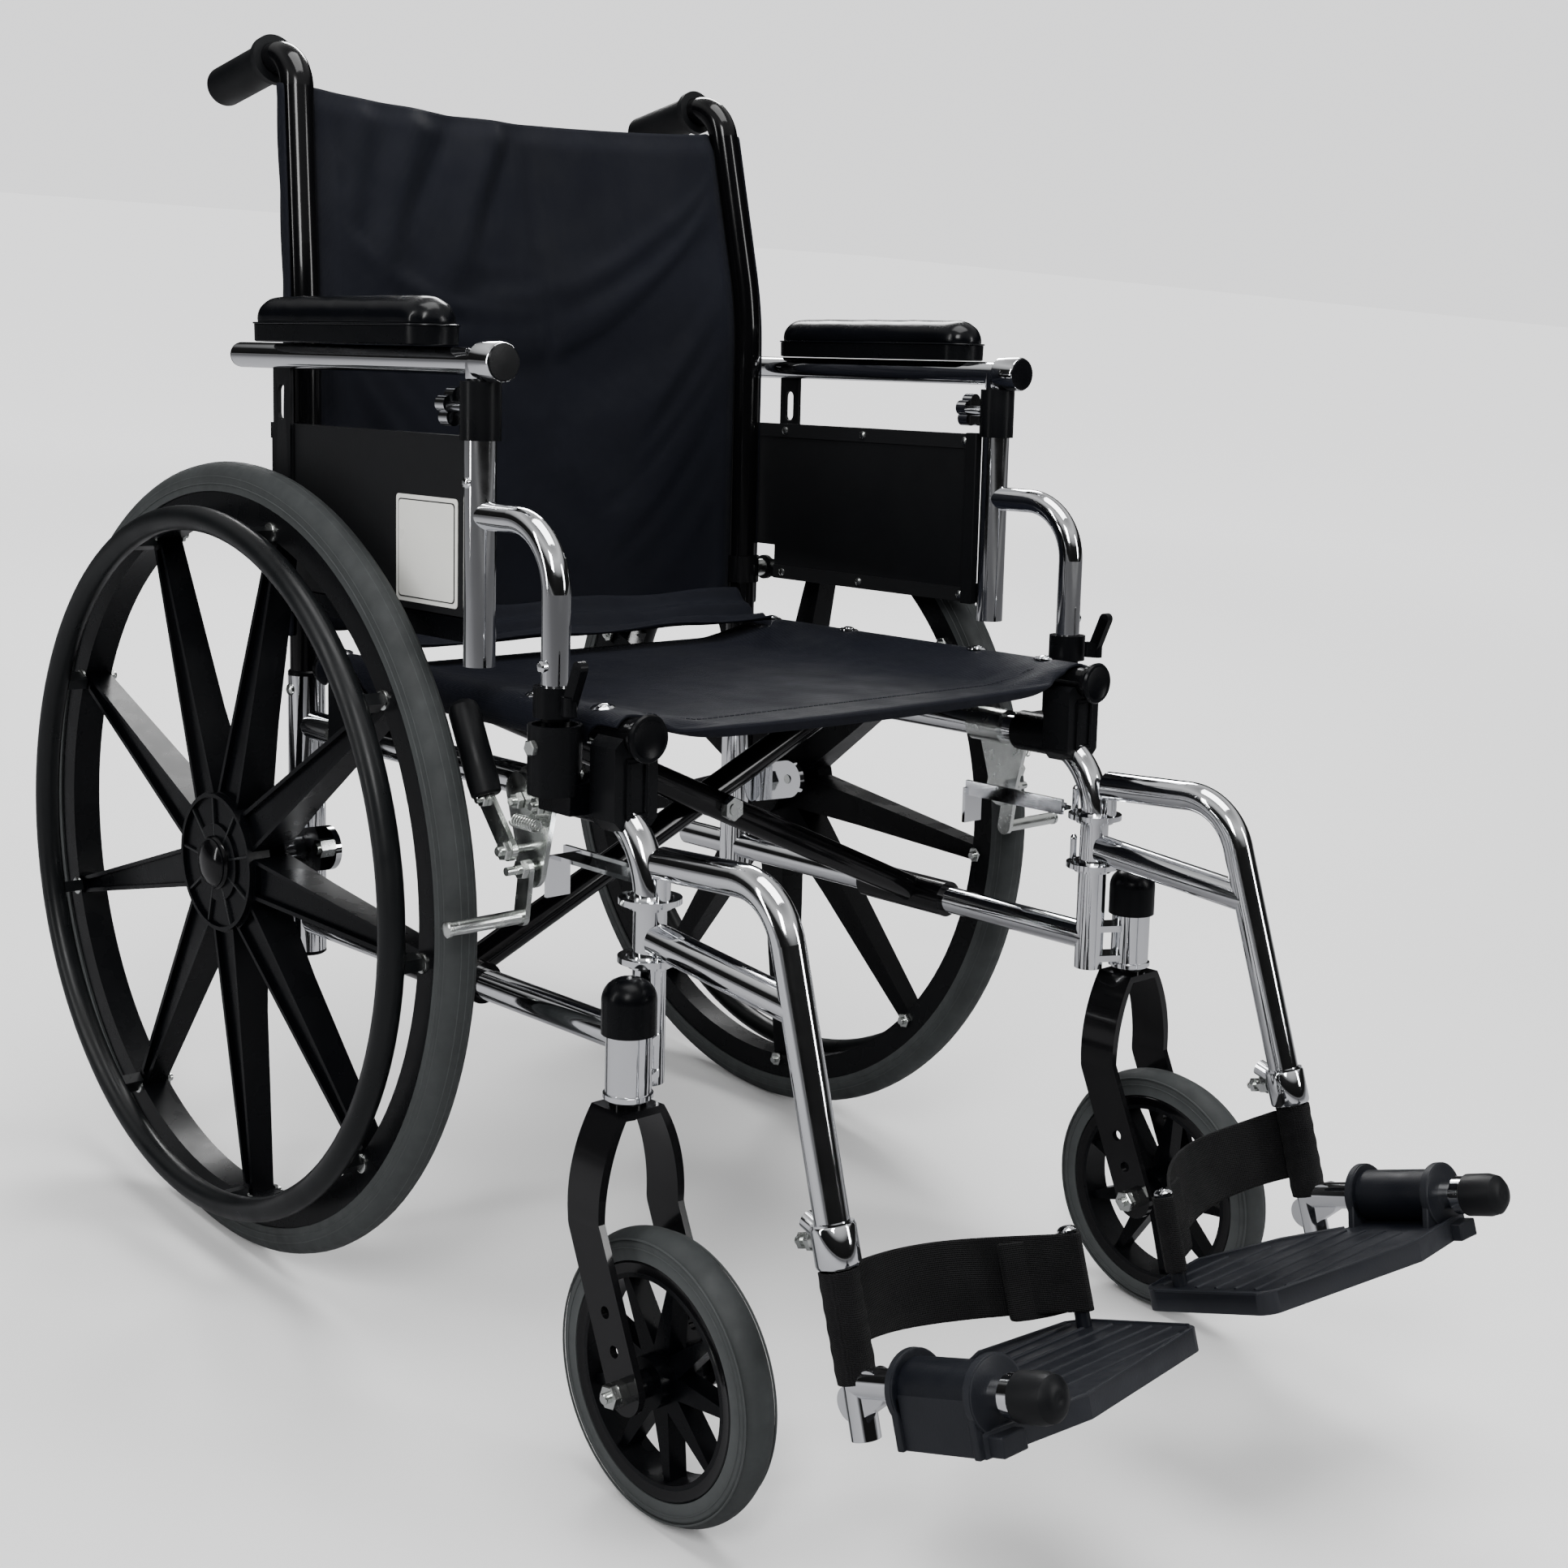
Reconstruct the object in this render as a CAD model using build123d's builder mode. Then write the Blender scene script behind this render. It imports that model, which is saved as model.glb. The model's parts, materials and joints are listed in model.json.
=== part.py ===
from build123d import *
from math import atan2, cos, degrees, radians, sin
import os

# Manual folding wheelchair. Millimetres, +Z up, front towards -Y, occupant's left towards +X.
# The frame is modelled level, with the rear axle at Y = 0, and then leans back by LEAN about
# that axle, because the caster axles sit in the lowest fork holes.

# ---- driving dimensions ------------------------------------------------------------------
LEAN = 5.0                 # degrees nose-up
FRAME_SHIFT = 247.4        # from the rear axle to the middle of the overall length
WHEEL_R = 305.0            # 24 in rear wheel
SIDE_X = 226.0             # side frame plane, from the mid-plane
TUBE_R = 11.1              # 7/8 in side frame and hanger tube
TUBE_BORE = 9.3
CLEAR = 0.1                # running clearance, radial

FRONT_Y, REAR_Y = -428.0, -5.0
UPPER_Z, LOWER_Z, RAIL_Z = 406.0, 251.0, 453.0
FRONT_BEND = 58.0
POST_FOOT_Z = 226.0
REAR_POST_R, REAR_POST_BORE, REAR_POST_TOP = 14.3, 12.7, 445.0
STUB_Y = 62.0              # open rear end of the lower tube, the anti-tipper socket

CANE_R, CANE_BEND_Z = 12.5, 738.0
CANE_TOP = (214.0, 25.0, 922.0)
GRIP_END = (214.0, 131.0, 901.0)
GRIP_COVER = 78.0          # length of cane inside the grip

RAIL_R, RAIL_FRONT, RAIL_REAR = 11.0, -417.0, -32.0
BRACE_R = 11.0
BRACE_A_Y, BRACE_B_Y = -213.0, -238.0
SLEEVE_R, SLEEVE_BORE = 15.0, 11.3

WHEEL_X = 281.5            # tyre mid-plane
RIM_IN, RIM_OUT, RIM_HALF = 262.0, 283.0, 11.5
SPOKES = 9
TYRE_HALF = 13.0
HUB_R, HUB_DISC_R = 30.0, 53.0
HUB_FACE = 303.0           # outer face of the hub
WHEEL_PHASE = 20.0         # degrees, where the first spoke stands at rest
AXLE_R = 6.35
HANDRIM_R, HANDRIM_TUBE, HANDRIM_X = 263.5, 9.5, 316.0

CASTER_X, CASTER_Y = 256.0, -445.0
CASTER_R, CASTER_HALF = 96.0, 13.0
CASTER_AXLE = (-487.4, 52.52)
CASTER_AXLE_R = 4.0
FORK_HALF, FORK_WALL, FORK_WIDTH = 35.0, 5.0, 32.0
CROWN_HALF, CROWN_TOP = 17.0, 222.0

ARM_X, ARM_R = 257.5, 9.5
ARM_TOP_Z, ARM_REAR, ARM_FRONT = 690.0, 33.0, -300.0
ARM_POST_Y, ARM_POST_R, ARM_POST_BORE = -281.0, 11.0, 9.0
ARM_LEG_Y, ARM_T_Z = -366.0, 588.0
ARM_PIVOT = (-5.0, 508.0)
SOCKET_TOP, SOCKET_FOOT, SOCKET_R = 458.0, 412.0, 18.0

HANGER_TOP = (SIDE_X + 2, -552.0, 380.0)
HANGER_LOW = (SIDE_X + 7, -617.0, 166.5)
PLATE_TOP, PLATE_FOOT = -17.0, -31.0     # tread and rim, below the hinge tube
BARREL_START, BARREL_END = 46.0, 114.0    # footplate hinge barrel, from the post
BRAKE_X = 257.0
BRAKE_PIVOT, SHOE_PIVOT = (-316.0, 365.0), (-322.0, 352.0)

LEAN_POSE = Location((0, FRAME_SHIFT, WHEEL_R)) * Location((0, 0, 0), (-LEAN, 0, 0)) \
    * Location((0, 0, -WHEEL_R))


# ---- helpers -----------------------------------------------------------------------------
def rod(points, radius, bend=0.0, mode=Mode.ADD):
    """A round bar along straight runs that meet in bends, in the part being built."""
    with BuildLine() as path:
        if len(points) == 2:
            Line(*points)
        else:
            FilletPolyline(*points, radius=bend)
    with BuildSketch(Plane(origin=path.line @ 0, z_dir=path.line % 0)) as section:
        Circle(radius)
    sweep(section.sketch, path=path.line, mode=mode)


def disc(centre, axis, radius, length, bore=0.0, mode=Mode.ADD):
    """A cylinder that starts at centre and runs along axis."""
    with BuildSketch(Plane(origin=centre, z_dir=axis)) as section:
        Circle(radius)
        if bore:
            Circle(bore, mode=Mode.SUBTRACT)
    extrude(section.sketch, amount=length, mode=mode)


def block(low, high, mode=Mode.ADD):
    """A box between two corners."""
    size = [b - a for a, b in zip(low, high)]
    middle = [(a + b) / 2 for a, b in zip(low, high)]
    with Locations(tuple(middle)):
        Box(*size, mode=mode)


def strap(start, end, width):
    """A round-ended bar between two sketch points."""
    (x0, y0), (x1, y1) = start, end
    with Locations(((x0 + x1) / 2, (y0 + y1) / 2)):
        angle = degrees(atan2(y1 - y0, x1 - x0))
        SlotCenterToCenter(((x1 - x0) ** 2 + (y1 - y0) ** 2) ** 0.5, width, rotation=angle)


def side_plane(x):
    """Sketch plane across the chair at x, with sketch X along +Y and sketch Y along +Z."""
    return Plane(origin=(x, 0, 0), x_dir=(0, 1, 0), z_dir=(1, 0, 0))


def along(start, end, distance):
    """The point at a distance from start on the way to end."""
    step = Vector(*end) - Vector(*start)
    return tuple(Vector(*start) + step.normalized() * distance)


def save(shape, name):
    """Lean a finished piece back with the frame and write it to its own file."""
    placed = shape.moved(LEAN_POSE)
    placed.label = name
    export_step(placed, f"parts/{name}.step")


def save_pair(shape, name):
    """Write a left-hand piece and its mirror image."""
    save(shape, f"{name}_left")
    save(mirror(shape, about=Plane.YZ), f"{name}_right")


os.makedirs("parts", exist_ok=True)


# ---- side frames -------------------------------------------------------------------------
UPPER_PATH = [(SIDE_X, REAR_Y, UPPER_Z), (SIDE_X, FRONT_Y, UPPER_Z), (SIDE_X, FRONT_Y, POST_FOOT_Z)]


def build_side_frame():
    with BuildPart() as frame:
        rod(UPPER_PATH, TUBE_R, FRONT_BEND)
        rod([(SIDE_X, STUB_Y, LOWER_Z), (SIDE_X, FRONT_Y, LOWER_Z)], TUBE_R)
        disc((SIDE_X, REAR_Y, POST_FOOT_Z), (0, 0, 1), REAR_POST_R, REAR_POST_TOP - POST_FOOT_Z)
        # caster housing and the plates that carry it on the front post
        disc((CASTER_X, CASTER_Y, POST_FOOT_Z), (0, 0, 1), 15.0, 43.0)
        for z in (232.0, 256.0):
            with BuildSketch(Plane.XY.offset(z)):
                strap((SIDE_X, FRONT_Y), (CASTER_X, CASTER_Y), 20.0)
            extrude(amount=5.0)
        # axle plate with its sleeve, and the two stop rings under the hanger collars
        with BuildSketch(side_plane(SIDE_X + 13.0)):
            strap((-60.0, 319.0), (0.0, WHEEL_R), 34.0)
        extrude(amount=5.0)
        disc((SIDE_X, 0, WHEEL_R), (1, 0, 0), 11.0, 32.0)
        for z in (304.0, 343.0):
            disc((SIDE_X, FRONT_Y, z), (0, 0, 1), 14.5, 3.0)
        # bores
        rod([(SIDE_X, REAR_Y - 16.0, UPPER_Z)] + UPPER_PATH[1:], TUBE_BORE, FRONT_BEND, Mode.SUBTRACT)
        rod([(SIDE_X, STUB_Y, LOWER_Z), (SIDE_X, REAR_Y + 14.0, LOWER_Z)], TUBE_BORE, 0, Mode.SUBTRACT)
        rod([(SIDE_X, REAR_Y - 16.0, LOWER_Z), (SIDE_X, FRONT_Y + 11.0, LOWER_Z)],
            TUBE_BORE, 0, Mode.SUBTRACT)
        disc((SIDE_X, REAR_Y, POST_FOOT_Z), (0, 0, 1), REAR_POST_BORE, 240.0, mode=Mode.SUBTRACT)
        disc((SIDE_X, FRONT_Y, POST_FOOT_Z), (0, 0, 1), TUBE_BORE, 90.0, mode=Mode.SUBTRACT)
        disc((CASTER_X, CASTER_Y, POST_FOOT_Z), (0, 0, 1), 12.0, 43.0, mode=Mode.SUBTRACT)
        disc((SIDE_X - 30.0, 0, WHEEL_R), (1, 0, 0), AXLE_R + CLEAR, 90.0, mode=Mode.SUBTRACT)
        disc((SIDE_X + 5.0, -60.0, 319.0), (1, 0, 0), 4.2, 30.0, mode=Mode.SUBTRACT)
    return frame.part


def build_back_cane():
    low = (SIDE_X, REAR_Y, 330.0)
    knee = (SIDE_X, REAR_Y, CANE_BEND_Z)
    with BuildPart() as cane:
        with BuildLine() as path:
            FilletPolyline(low, knee, CANE_TOP, GRIP_END, radius=[400.0, 30.0])
        section = Plane(origin=low, z_dir=(0, 0, 1))
        with BuildSketch(section):
            Circle(CANE_R)
            Circle(CANE_R - 1.8, mode=Mode.SUBTRACT)
        sweep(path=path.line)
        # clamp and stub pin that the armrest turns on
        py, pz = ARM_PIVOT
        disc((SIDE_X, REAR_Y, pz - 12.0), (0, 0, 1), 16.0, 24.0, CANE_R - 0.5)
        disc((SIDE_X + CANE_R, py, pz), (1, 0, 0), 8.0, 12.0)
        disc((SIDE_X + CANE_R, py, pz), (1, 0, 0), 5.0, 22.0)
        disc((SIDE_X + CANE_R + 20.5, py, pz), (1, 0, 0), 8.0, 3.0)
    return cane.part


def build_push_grip():
    # the grip covers the last stretch of the cane, with a flange at its front end
    back = Vector(*GRIP_END) - Vector(*CANE_TOP)
    back = back.normalized()
    start = Vector(*GRIP_END) - back * GRIP_COVER
    with BuildPart() as grip:
        with BuildSketch(Plane(origin=start, z_dir=back)):
            Circle(15.5)
        extrude(amount=GRIP_COVER + 8.0)
        with BuildSketch(Plane(origin=start, z_dir=back)):
            Circle(19.0)
        extrude(amount=6.0)
        end_edges = grip.edges().filter_by(GeomType.CIRCLE).sort_by_distance(start + back * 86.0)
        fillet(end_edges[0], 7.0)
        with BuildSketch(Plane(origin=start, z_dir=back)):
            Circle(CANE_R + CLEAR)
        extrude(amount=GRIP_COVER + 0.2, mode=Mode.SUBTRACT)
    return grip.part


def build_frame_mouldings():
    with BuildPart() as mould:
        # front and rear seat guides: octagonal blocks on the upper tube, cradling the rail
        for y0, y1 in ((-412.0, -386.0), (-92.0, -66.0)):
            with BuildSketch(Plane(origin=(SIDE_X, y1, 0), x_dir=(1, 0, 0), z_dir=(0, -1, 0))):
                with Locations((0, 422.0)):
                    Rectangle(36.0, 66.0)
                chamfer(vertices(), 9.0)
            extrude(amount=y1 - y0)
        # clamp and socket that the front leg of the armrest drops into
        disc((SIDE_X, -349.0, UPPER_Z), (0, -1, 0), 16.0, 40.0)
        block((SIDE_X, -383.0, SOCKET_FOOT - 13), (ARM_X, -349.0, SOCKET_FOOT + 8))
        disc((ARM_X, ARM_LEG_Y, SOCKET_FOOT), (0, 0, 1), SOCKET_R, SOCKET_TOP - SOCKET_FOOT)
        with BuildSketch(side_plane(ARM_X)) as cup:
            with BuildLine():
                Polyline((ARM_LEG_Y, SOCKET_TOP + 1), (ARM_LEG_Y + 15.5, SOCKET_TOP + 1),
                         (ARM_LEG_Y + 9.0, SOCKET_TOP - 26), (ARM_LEG_Y, SOCKET_TOP - 26), close=True)
            make_face()
        revolve(axis=Axis((ARM_X, ARM_LEG_Y, 0), (0, 0, 1)), mode=Mode.SUBTRACT)
        # dust cap over the caster bearing
        disc((CASTER_X, CASTER_Y, 269.0), (0, 0, 1), 18.0, 36.0)
        fillet(mould.edges().filter_by(GeomType.CIRCLE).sort_by_distance(
            (CASTER_X, CASTER_Y, 305.0))[0], 14.0)
        # the tube and the rail run through the blocks; the rail's cradle is open upwards
        rod(UPPER_PATH, TUBE_R + CLEAR, FRONT_BEND, Mode.SUBTRACT)
        disc((SIDE_X, 0, RAIL_Z), (0, -1, 0), RAIL_R + 0.5, 430.0, mode=Mode.SUBTRACT)
        block((SIDE_X - RAIL_R - 0.5, -413.0, RAIL_Z), (SIDE_X + RAIL_R + 0.5, -60.0, RAIL_Z + 9),
              mode=Mode.SUBTRACT)
        block((SIDE_X - 19.0, -413.0, RAIL_Z - 4), (SIDE_X, -60.0, RAIL_Z + 9), mode=Mode.SUBTRACT)
    return mould.part


def build_rear_axle():
    with BuildPart() as axle:
        disc((208.0, 0, WHEEL_R), (1, 0, 0), AXLE_R, 97.4)
        with BuildSketch(side_plane(203.0)):
            with Locations((0, WHEEL_R)):
                RegularPolygon(10.5, 6)
        extrude(amount=8.0)
        # second bolt of the axle plate
        disc((238.0, -60.0, 319.0), (1, 0, 0), 4.0, 14.0)
        with BuildSketch(side_plane(SIDE_X + 18.1)):
            with Locations((-60.0, 319.0)):
                RegularPolygon(7.5, 6)
        extrude(amount=6.0)
    return axle.part


def build_brake_bracket():
    with BuildPart() as bracket:
        disc((SIDE_X, -300.0, UPPER_Z), (0, -1, 0), 14.0, 34.0, TUBE_R + CLEAR)
        with BuildSketch(side_plane(SIDE_X + 12.0)):
            strap((-330.0, UPPER_Z - 4), (-318.0, 352.0), 30.0)
            strap((-304.0, UPPER_Z - 4), (-316.0, 365.0), 26.0)
        extrude(amount=4.0)
        for y, z in (BRAKE_PIVOT, SHOE_PIVOT):
            disc((SIDE_X + 14.0, y, z), (1, 0, 0), 3.0, 24.0)
        disc((SIDE_X, 0, UPPER_Z), (0, -1, 0), TUBE_R + CLEAR, 430.0, mode=Mode.SUBTRACT)
    return bracket.part


# ---- rear wheels -------------------------------------------------------------------------
def spoke_face(r, sink=0.0):
    """X of the slanted outer face of the spokes at radius r, less a depth."""
    run = (r - HUB_R) / (RIM_IN - HUB_R)
    return HUB_FACE - 2.0 - sink + run * (WHEEL_X + 9.0 - HUB_FACE + 2.0)


def spoke_star(root_width, side_angle, start, end, profile):
    """Tapered radial bars, cut to a profile of (x, radius) points turned about the axle."""
    with BuildPart() as star:
        with BuildSketch(side_plane(WHEEL_X - 20.0)):
            with PolarLocations(0, SPOKES, start_angle=WHEEL_PHASE + LEAN):
                with Locations(((start + end) / 2, 0)):
                    Trapezoid(root_width, end - start, side_angle, rotation=-90.0)
        extrude(amount=60.0)
        with BuildSketch(Plane.XY):
            with BuildLine():
                Polyline(*profile, close=True)
            make_face()
        revolve(axis=Axis.X, mode=Mode.INTERSECT)
    return star.part.moved(Location((0, 0, WHEEL_R)))


def build_rear_wheel():
    first, last = 26.0, RIM_IN + 3.0
    web = [(spoke_face(first), first), (spoke_face(last), last), (WHEEL_X - 9, last),
           (WHEEL_X - 9, 120), (WHEEL_X - 13, first)]
    near, far = HUB_DISC_R + 2.0, RIM_IN - 7.0
    groove = [(spoke_face(near, 4.0), near), (spoke_face(far, 4.0), far), (HUB_FACE + 5, far),
              (HUB_FACE + 5, near)]
    with BuildPart() as wheel:
        for inner, outer, x, width in ((RIM_IN, RIM_OUT, WHEEL_X - RIM_HALF, 2 * RIM_HALF),
                                       (0, HUB_R, 259.0, HUB_FACE - 259.0),
                                       (0, HUB_DISC_R, HUB_FACE - 17.0, 15.0)):
            with BuildSketch(side_plane(x)):
                with Locations((0, WHEEL_R)):
                    Circle(outer)
                    if inner:
                        Circle(inner, mode=Mode.SUBTRACT)
            extrude(amount=width)
        # spokes: deep at the hub, shallow at the rim, their outer face sunk between edge ribs
        add(spoke_star(33.0, 87.6, first, last, web))
        add(spoke_star(27.0, 87.5, first, far, groove), mode=Mode.SUBTRACT)
        disc((HUB_FACE - 2.0, 0, WHEEL_R), (1, 0, 0), HUB_DISC_R, 3.0, HUB_DISC_R - 3)
        disc((HUB_FACE - 5.0, 0, WHEEL_R), (1, 0, 0), 19.0, 9.5)
        disc((255.0, 0, WHEEL_R), (1, 0, 0), AXLE_R + CLEAR, 51.0, mode=Mode.SUBTRACT)
    return wheel.part


def build_rear_tyre():
    half = TYRE_HALF
    with BuildPart() as tyre:
        with BuildSketch(Plane.XY):
            with BuildLine():
                base = RIM_OUT + CLEAR
                Line((WHEEL_X - half, base), (WHEEL_X + half, base))
                Line((WHEEL_X + half, base), (WHEEL_X + half, WHEEL_R - 13))
                ThreePointArc((WHEEL_X + half, WHEEL_R - 13), (WHEEL_X, WHEEL_R),
                              (WHEEL_X - half, WHEEL_R - 13))
                Line((WHEEL_X - half, WHEEL_R - 13), (WHEEL_X - half, base))
            make_face()
        revolve(axis=Axis.X)
    return tyre.part.moved(Location((0, 0, WHEEL_R)))


def build_handrim():
    with BuildPart() as rim:
        with Locations(Location((HANDRIM_X, 0, WHEEL_R), (0, 90, 0))):
            Torus(HANDRIM_R, HANDRIM_TUBE)
        # stand-offs at the spoke ends
        with BuildSketch(side_plane(WHEEL_X + RIM_HALF + CLEAR)):
            with Locations((0, WHEEL_R)):
                with PolarLocations(RIM_IN + 1, SPOKES, start_angle=WHEEL_PHASE + LEAN):
                    Rectangle(13.0, 9.0)
        extrude(amount=HANDRIM_X - 7.0 - WHEEL_X - RIM_HALF)
    return rim.part


# ---- casters -----------------------------------------------------------------------------
def fork_arch(wall):
    """Outline of the fork's arch seen from the front, a wall in from its outer face."""
    half, crown = FORK_HALF - wall, CROWN_HALF - wall * 0.6
    top, shoulder, foot = CROWN_TOP - wall, 150.0, 30.0
    for side in (-1, 1):
        knee = (CASTER_X + side * half, shoulder)
        ThreePointArc((CASTER_X + side * crown, top), (CASTER_X + side * (half - 5), top - 27), knee)
        Line(knee, (CASTER_X + side * half, foot))
    Line((CASTER_X - crown, top), (CASTER_X + crown, top))
    Line((CASTER_X - half, foot), (CASTER_X + half, foot))


def build_caster_fork():
    ay, az = CASTER_AXLE
    knee = (CASTER_Y, 150.0)
    front = Plane(origin=(0, -380.0, 0), x_dir=(1, 0, 0), z_dir=(0, -1, 0))
    with BuildPart() as fork:
        with BuildSketch(front):
            with BuildLine():
                fork_arch(0.0)
            make_face()
        extrude(amount=150.0)
        with BuildSketch(front):
            with BuildLine():
                fork_arch(FORK_WALL)
            make_face()
            with Locations((CASTER_X, 25.0)):
                Rectangle(2 * (FORK_HALF - FORK_WALL), 12.0)
        extrude(amount=150.0, mode=Mode.SUBTRACT)
        # the side view: straight down from the crown, then forward to the axle
        with BuildSketch(side_plane(CASTER_X - 50.0)):
            strap((CASTER_Y, 230.0), knee, FORK_WIDTH)
            strap(knee, CASTER_AXLE, FORK_WIDTH)
        extrude(amount=100.0, mode=Mode.INTERSECT)
        # stem in the frame's housing
        disc((CASTER_X, CASTER_Y, CROWN_TOP - 4), (0, 0, 1), 6.35, 45.0)
        disc((CASTER_X, CASTER_Y, CROWN_TOP - 1), (0, 0, 1), 12.0, 4.5)
        # three axle heights
        with BuildSketch(side_plane(CASTER_X - FORK_HALF - 1)):
            with Locations((ay, az), (ay + 9.5, az + 23.0), (ay + 19.0, az + 46.0)):
                Circle(CASTER_AXLE_R + CLEAR)
        extrude(amount=2 * FORK_HALF + 2, mode=Mode.SUBTRACT)
    return fork.part


def build_caster_axle():
    ay, az = CASTER_AXLE
    with BuildPart() as axle:
        disc((CASTER_X - FORK_HALF - 8, ay, az), (1, 0, 0), CASTER_AXLE_R, 2 * FORK_HALF + 16)
        for x in (CASTER_X - FORK_HALF - 7, CASTER_X + FORK_HALF + 0.1):
            with BuildSketch(side_plane(x)):
                with Locations((ay, az)):
                    RegularPolygon(8.0, 6)
            extrude(amount=6.9)
    return axle.part


def build_caster_wheel():
    ay, az = CASTER_AXLE
    with BuildPart() as wheel:
        for inner, outer, half in ((66.0, 77.0, 12.0), (0, 17.0, 17.0), (0, 9.0, 29.5)):
            with BuildSketch(side_plane(CASTER_X - half)):
                with Locations((ay, az)):
                    Circle(outer)
                    if inner:
                        Circle(inner, mode=Mode.SUBTRACT)
            extrude(amount=2 * half)
        with BuildSketch(side_plane(CASTER_X - 7.0)):
            with Locations((ay, az)):
                with PolarLocations(0, 9, start_angle=20.0):
                    with Locations((41.0, 0)):
                        Trapezoid(16.0, 54.0, 84.5, rotation=-90.0)
        extrude(amount=14.0)
        disc((CASTER_X - 35, ay, az), (1, 0, 0), CASTER_AXLE_R + CLEAR, 70.0, mode=Mode.SUBTRACT)
    return wheel.part


def build_caster_tyre():
    ay, az = CASTER_AXLE
    with BuildPart() as tyre:
        with BuildSketch(Plane.XY):
            with BuildLine():
                Line((-CASTER_HALF, 77.1), (CASTER_HALF, 77.1))
                Line((CASTER_HALF, 77.1), (CASTER_HALF, CASTER_R - 8))
                ThreePointArc((CASTER_HALF, CASTER_R - 8), (0, CASTER_R), (-CASTER_HALF, CASTER_R - 8))
                Line((-CASTER_HALF, CASTER_R - 8), (-CASTER_HALF, 77.1))
            make_face()
        revolve(axis=Axis.X)
    return tyre.part.moved(Location((CASTER_X, ay, az)))


# ---- armrests ----------------------------------------------------------------------------
def build_armrest_frame():
    py, pz = ARM_PIVOT
    leg = [(ARM_X, ARM_POST_Y, ARM_T_Z), (ARM_X, ARM_LEG_Y, ARM_T_Z), (ARM_X, ARM_LEG_Y, SOCKET_TOP + 2)]
    with BuildPart() as arm:
        disc((ARM_X, ARM_POST_Y, 486.0), (0, 0, 1), ARM_POST_R, 190.0)
        rod(leg, ARM_R, 45.0)
        disc((ARM_X, ARM_LEG_Y, SOCKET_TOP - 20), (0, 0, 1), 6.0, 24.0)
        disc((ARM_X, ARM_LEG_Y, SOCKET_TOP + 5), (0, 0, 1), 14.5, 20.0)
        # lower rail of the panel, with the rear eye
        block((253.0, py - 8.0, pz - 8), (257.0, py, pz + 8))
        disc((253.0, py, pz), (1, 0, 0), 11.0, 4.0)
        block((253.0, ARM_POST_Y, pz - 8), (257.0, py - 6.0, pz + 8))
        # height clamp on the post, with its thumb screw to the rear
        disc((ARM_X, ARM_POST_Y, 638.0), (0, 0, 1), 14.0, 39.0)
        disc((ARM_X, ARM_POST_Y + 12.0, 659.0), (0, 1, 0), 4.0, 14.0)
        with BuildSketch(Plane(origin=(ARM_X, ARM_POST_Y + 24.0, 659.0), z_dir=(0, 1, 0))):
            with PolarLocations(8.0, 5):
                Circle(6.0)
            Circle(8.0)
        extrude(amount=10.0)
        disc((ARM_X, ARM_POST_Y, 486.0), (0, 0, 1), ARM_POST_BORE, 200.0, mode=Mode.SUBTRACT)
        disc((250.0, py, pz), (1, 0, 0), 5.0 + CLEAR, 10.0, mode=Mode.SUBTRACT)
    return arm.part


def build_armrest_top():
    with BuildPart() as top:
        disc((ARM_X, ARM_REAR, ARM_TOP_Z), (0, -1, 0), ARM_R, ARM_REAR - ARM_FRONT)
        disc((ARM_X, ARM_POST_Y, 560.0), (0, 0, 1), ARM_POST_BORE - CLEAR, 125.0)
        # slotted rear bar that slides behind the panel
        block((257.6, -42.0, 575.0), (260.6, -18.0, ARM_TOP_Z - 4))
        disc((ARM_X, ARM_REAR + 1, ARM_TOP_Z), (0, -1, 0), ARM_R - 1.8, 40.0, mode=Mode.SUBTRACT)
        with BuildSketch(side_plane(255.0)):
            strap((-30.0, 648.0), (-30.0, 664.0), 10.0)
        extrude(amount=8.0, mode=Mode.SUBTRACT)
    return top.part


def build_arm_pad():
    # a capsule-shaped pad on a flat base, its inner edge clear of the rising seat rail
    with BuildPart() as pad:
        with BuildSketch(Plane.XY.offset(ARM_TOP_Z + ARM_R + 0.2)):
            with Locations((264.5, -134.5)):
                RectangleRounded(42.0, 231.0, 17.0)
        extrude(amount=31.0)
        fillet(pad.faces().sort_by(Axis.Z)[-1].edges(), 11.0)
    return pad.part


def build_skirt_guard():
    with BuildPart() as skirt:
        block((249.0, -266.5, 500.0), (251.5, 0.0, 640.0))
        for z in (500.0, 628.0):
            block((248.0, -266.5, z), (252.6, 0.0, z + 12.0))
        block((251.5, -266.5, 517.0), (256.5, -25.0, 640.0))
        # notch around the rear pivot
        block((240.0, -24.0, 490.0), (260.0, 10.0, 530.0), mode=Mode.SUBTRACT)
    return skirt.part


def build_arm_lock():
    # cam lever on the collar at the foot of the armrest leg, standing up at its front
    z = SOCKET_TOP + 15.0
    root = (ARM_X + 5.0, ARM_LEG_Y - 20.0)
    with BuildPart() as lever:
        with BuildSketch(Plane.XY.offset(z - 6.0)):
            strap(root, (root[0] + 2.0, root[1] - 5.0), 9.0)
        extrude(amount=12.0)
        with BuildSketch(side_plane(root[0] - 2.0)):
            strap((root[1] - 3.0, z), (root[1] - 14.0, z + 26.0), 9.0)
        extrude(amount=6.0)
    return lever.part


# ---- hangers and footrests ---------------------------------------------------------------
POST_AXIS = (Vector(*HANGER_LOW) - Vector(*HANGER_TOP)).normalized()
PLATE_AXIS = Vector(0, POST_AXIS.Z, -POST_AXIS.Y).normalized()
PLATE_ROOT = Vector(*HANGER_TOP) + POST_AXIS * 296.0


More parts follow.
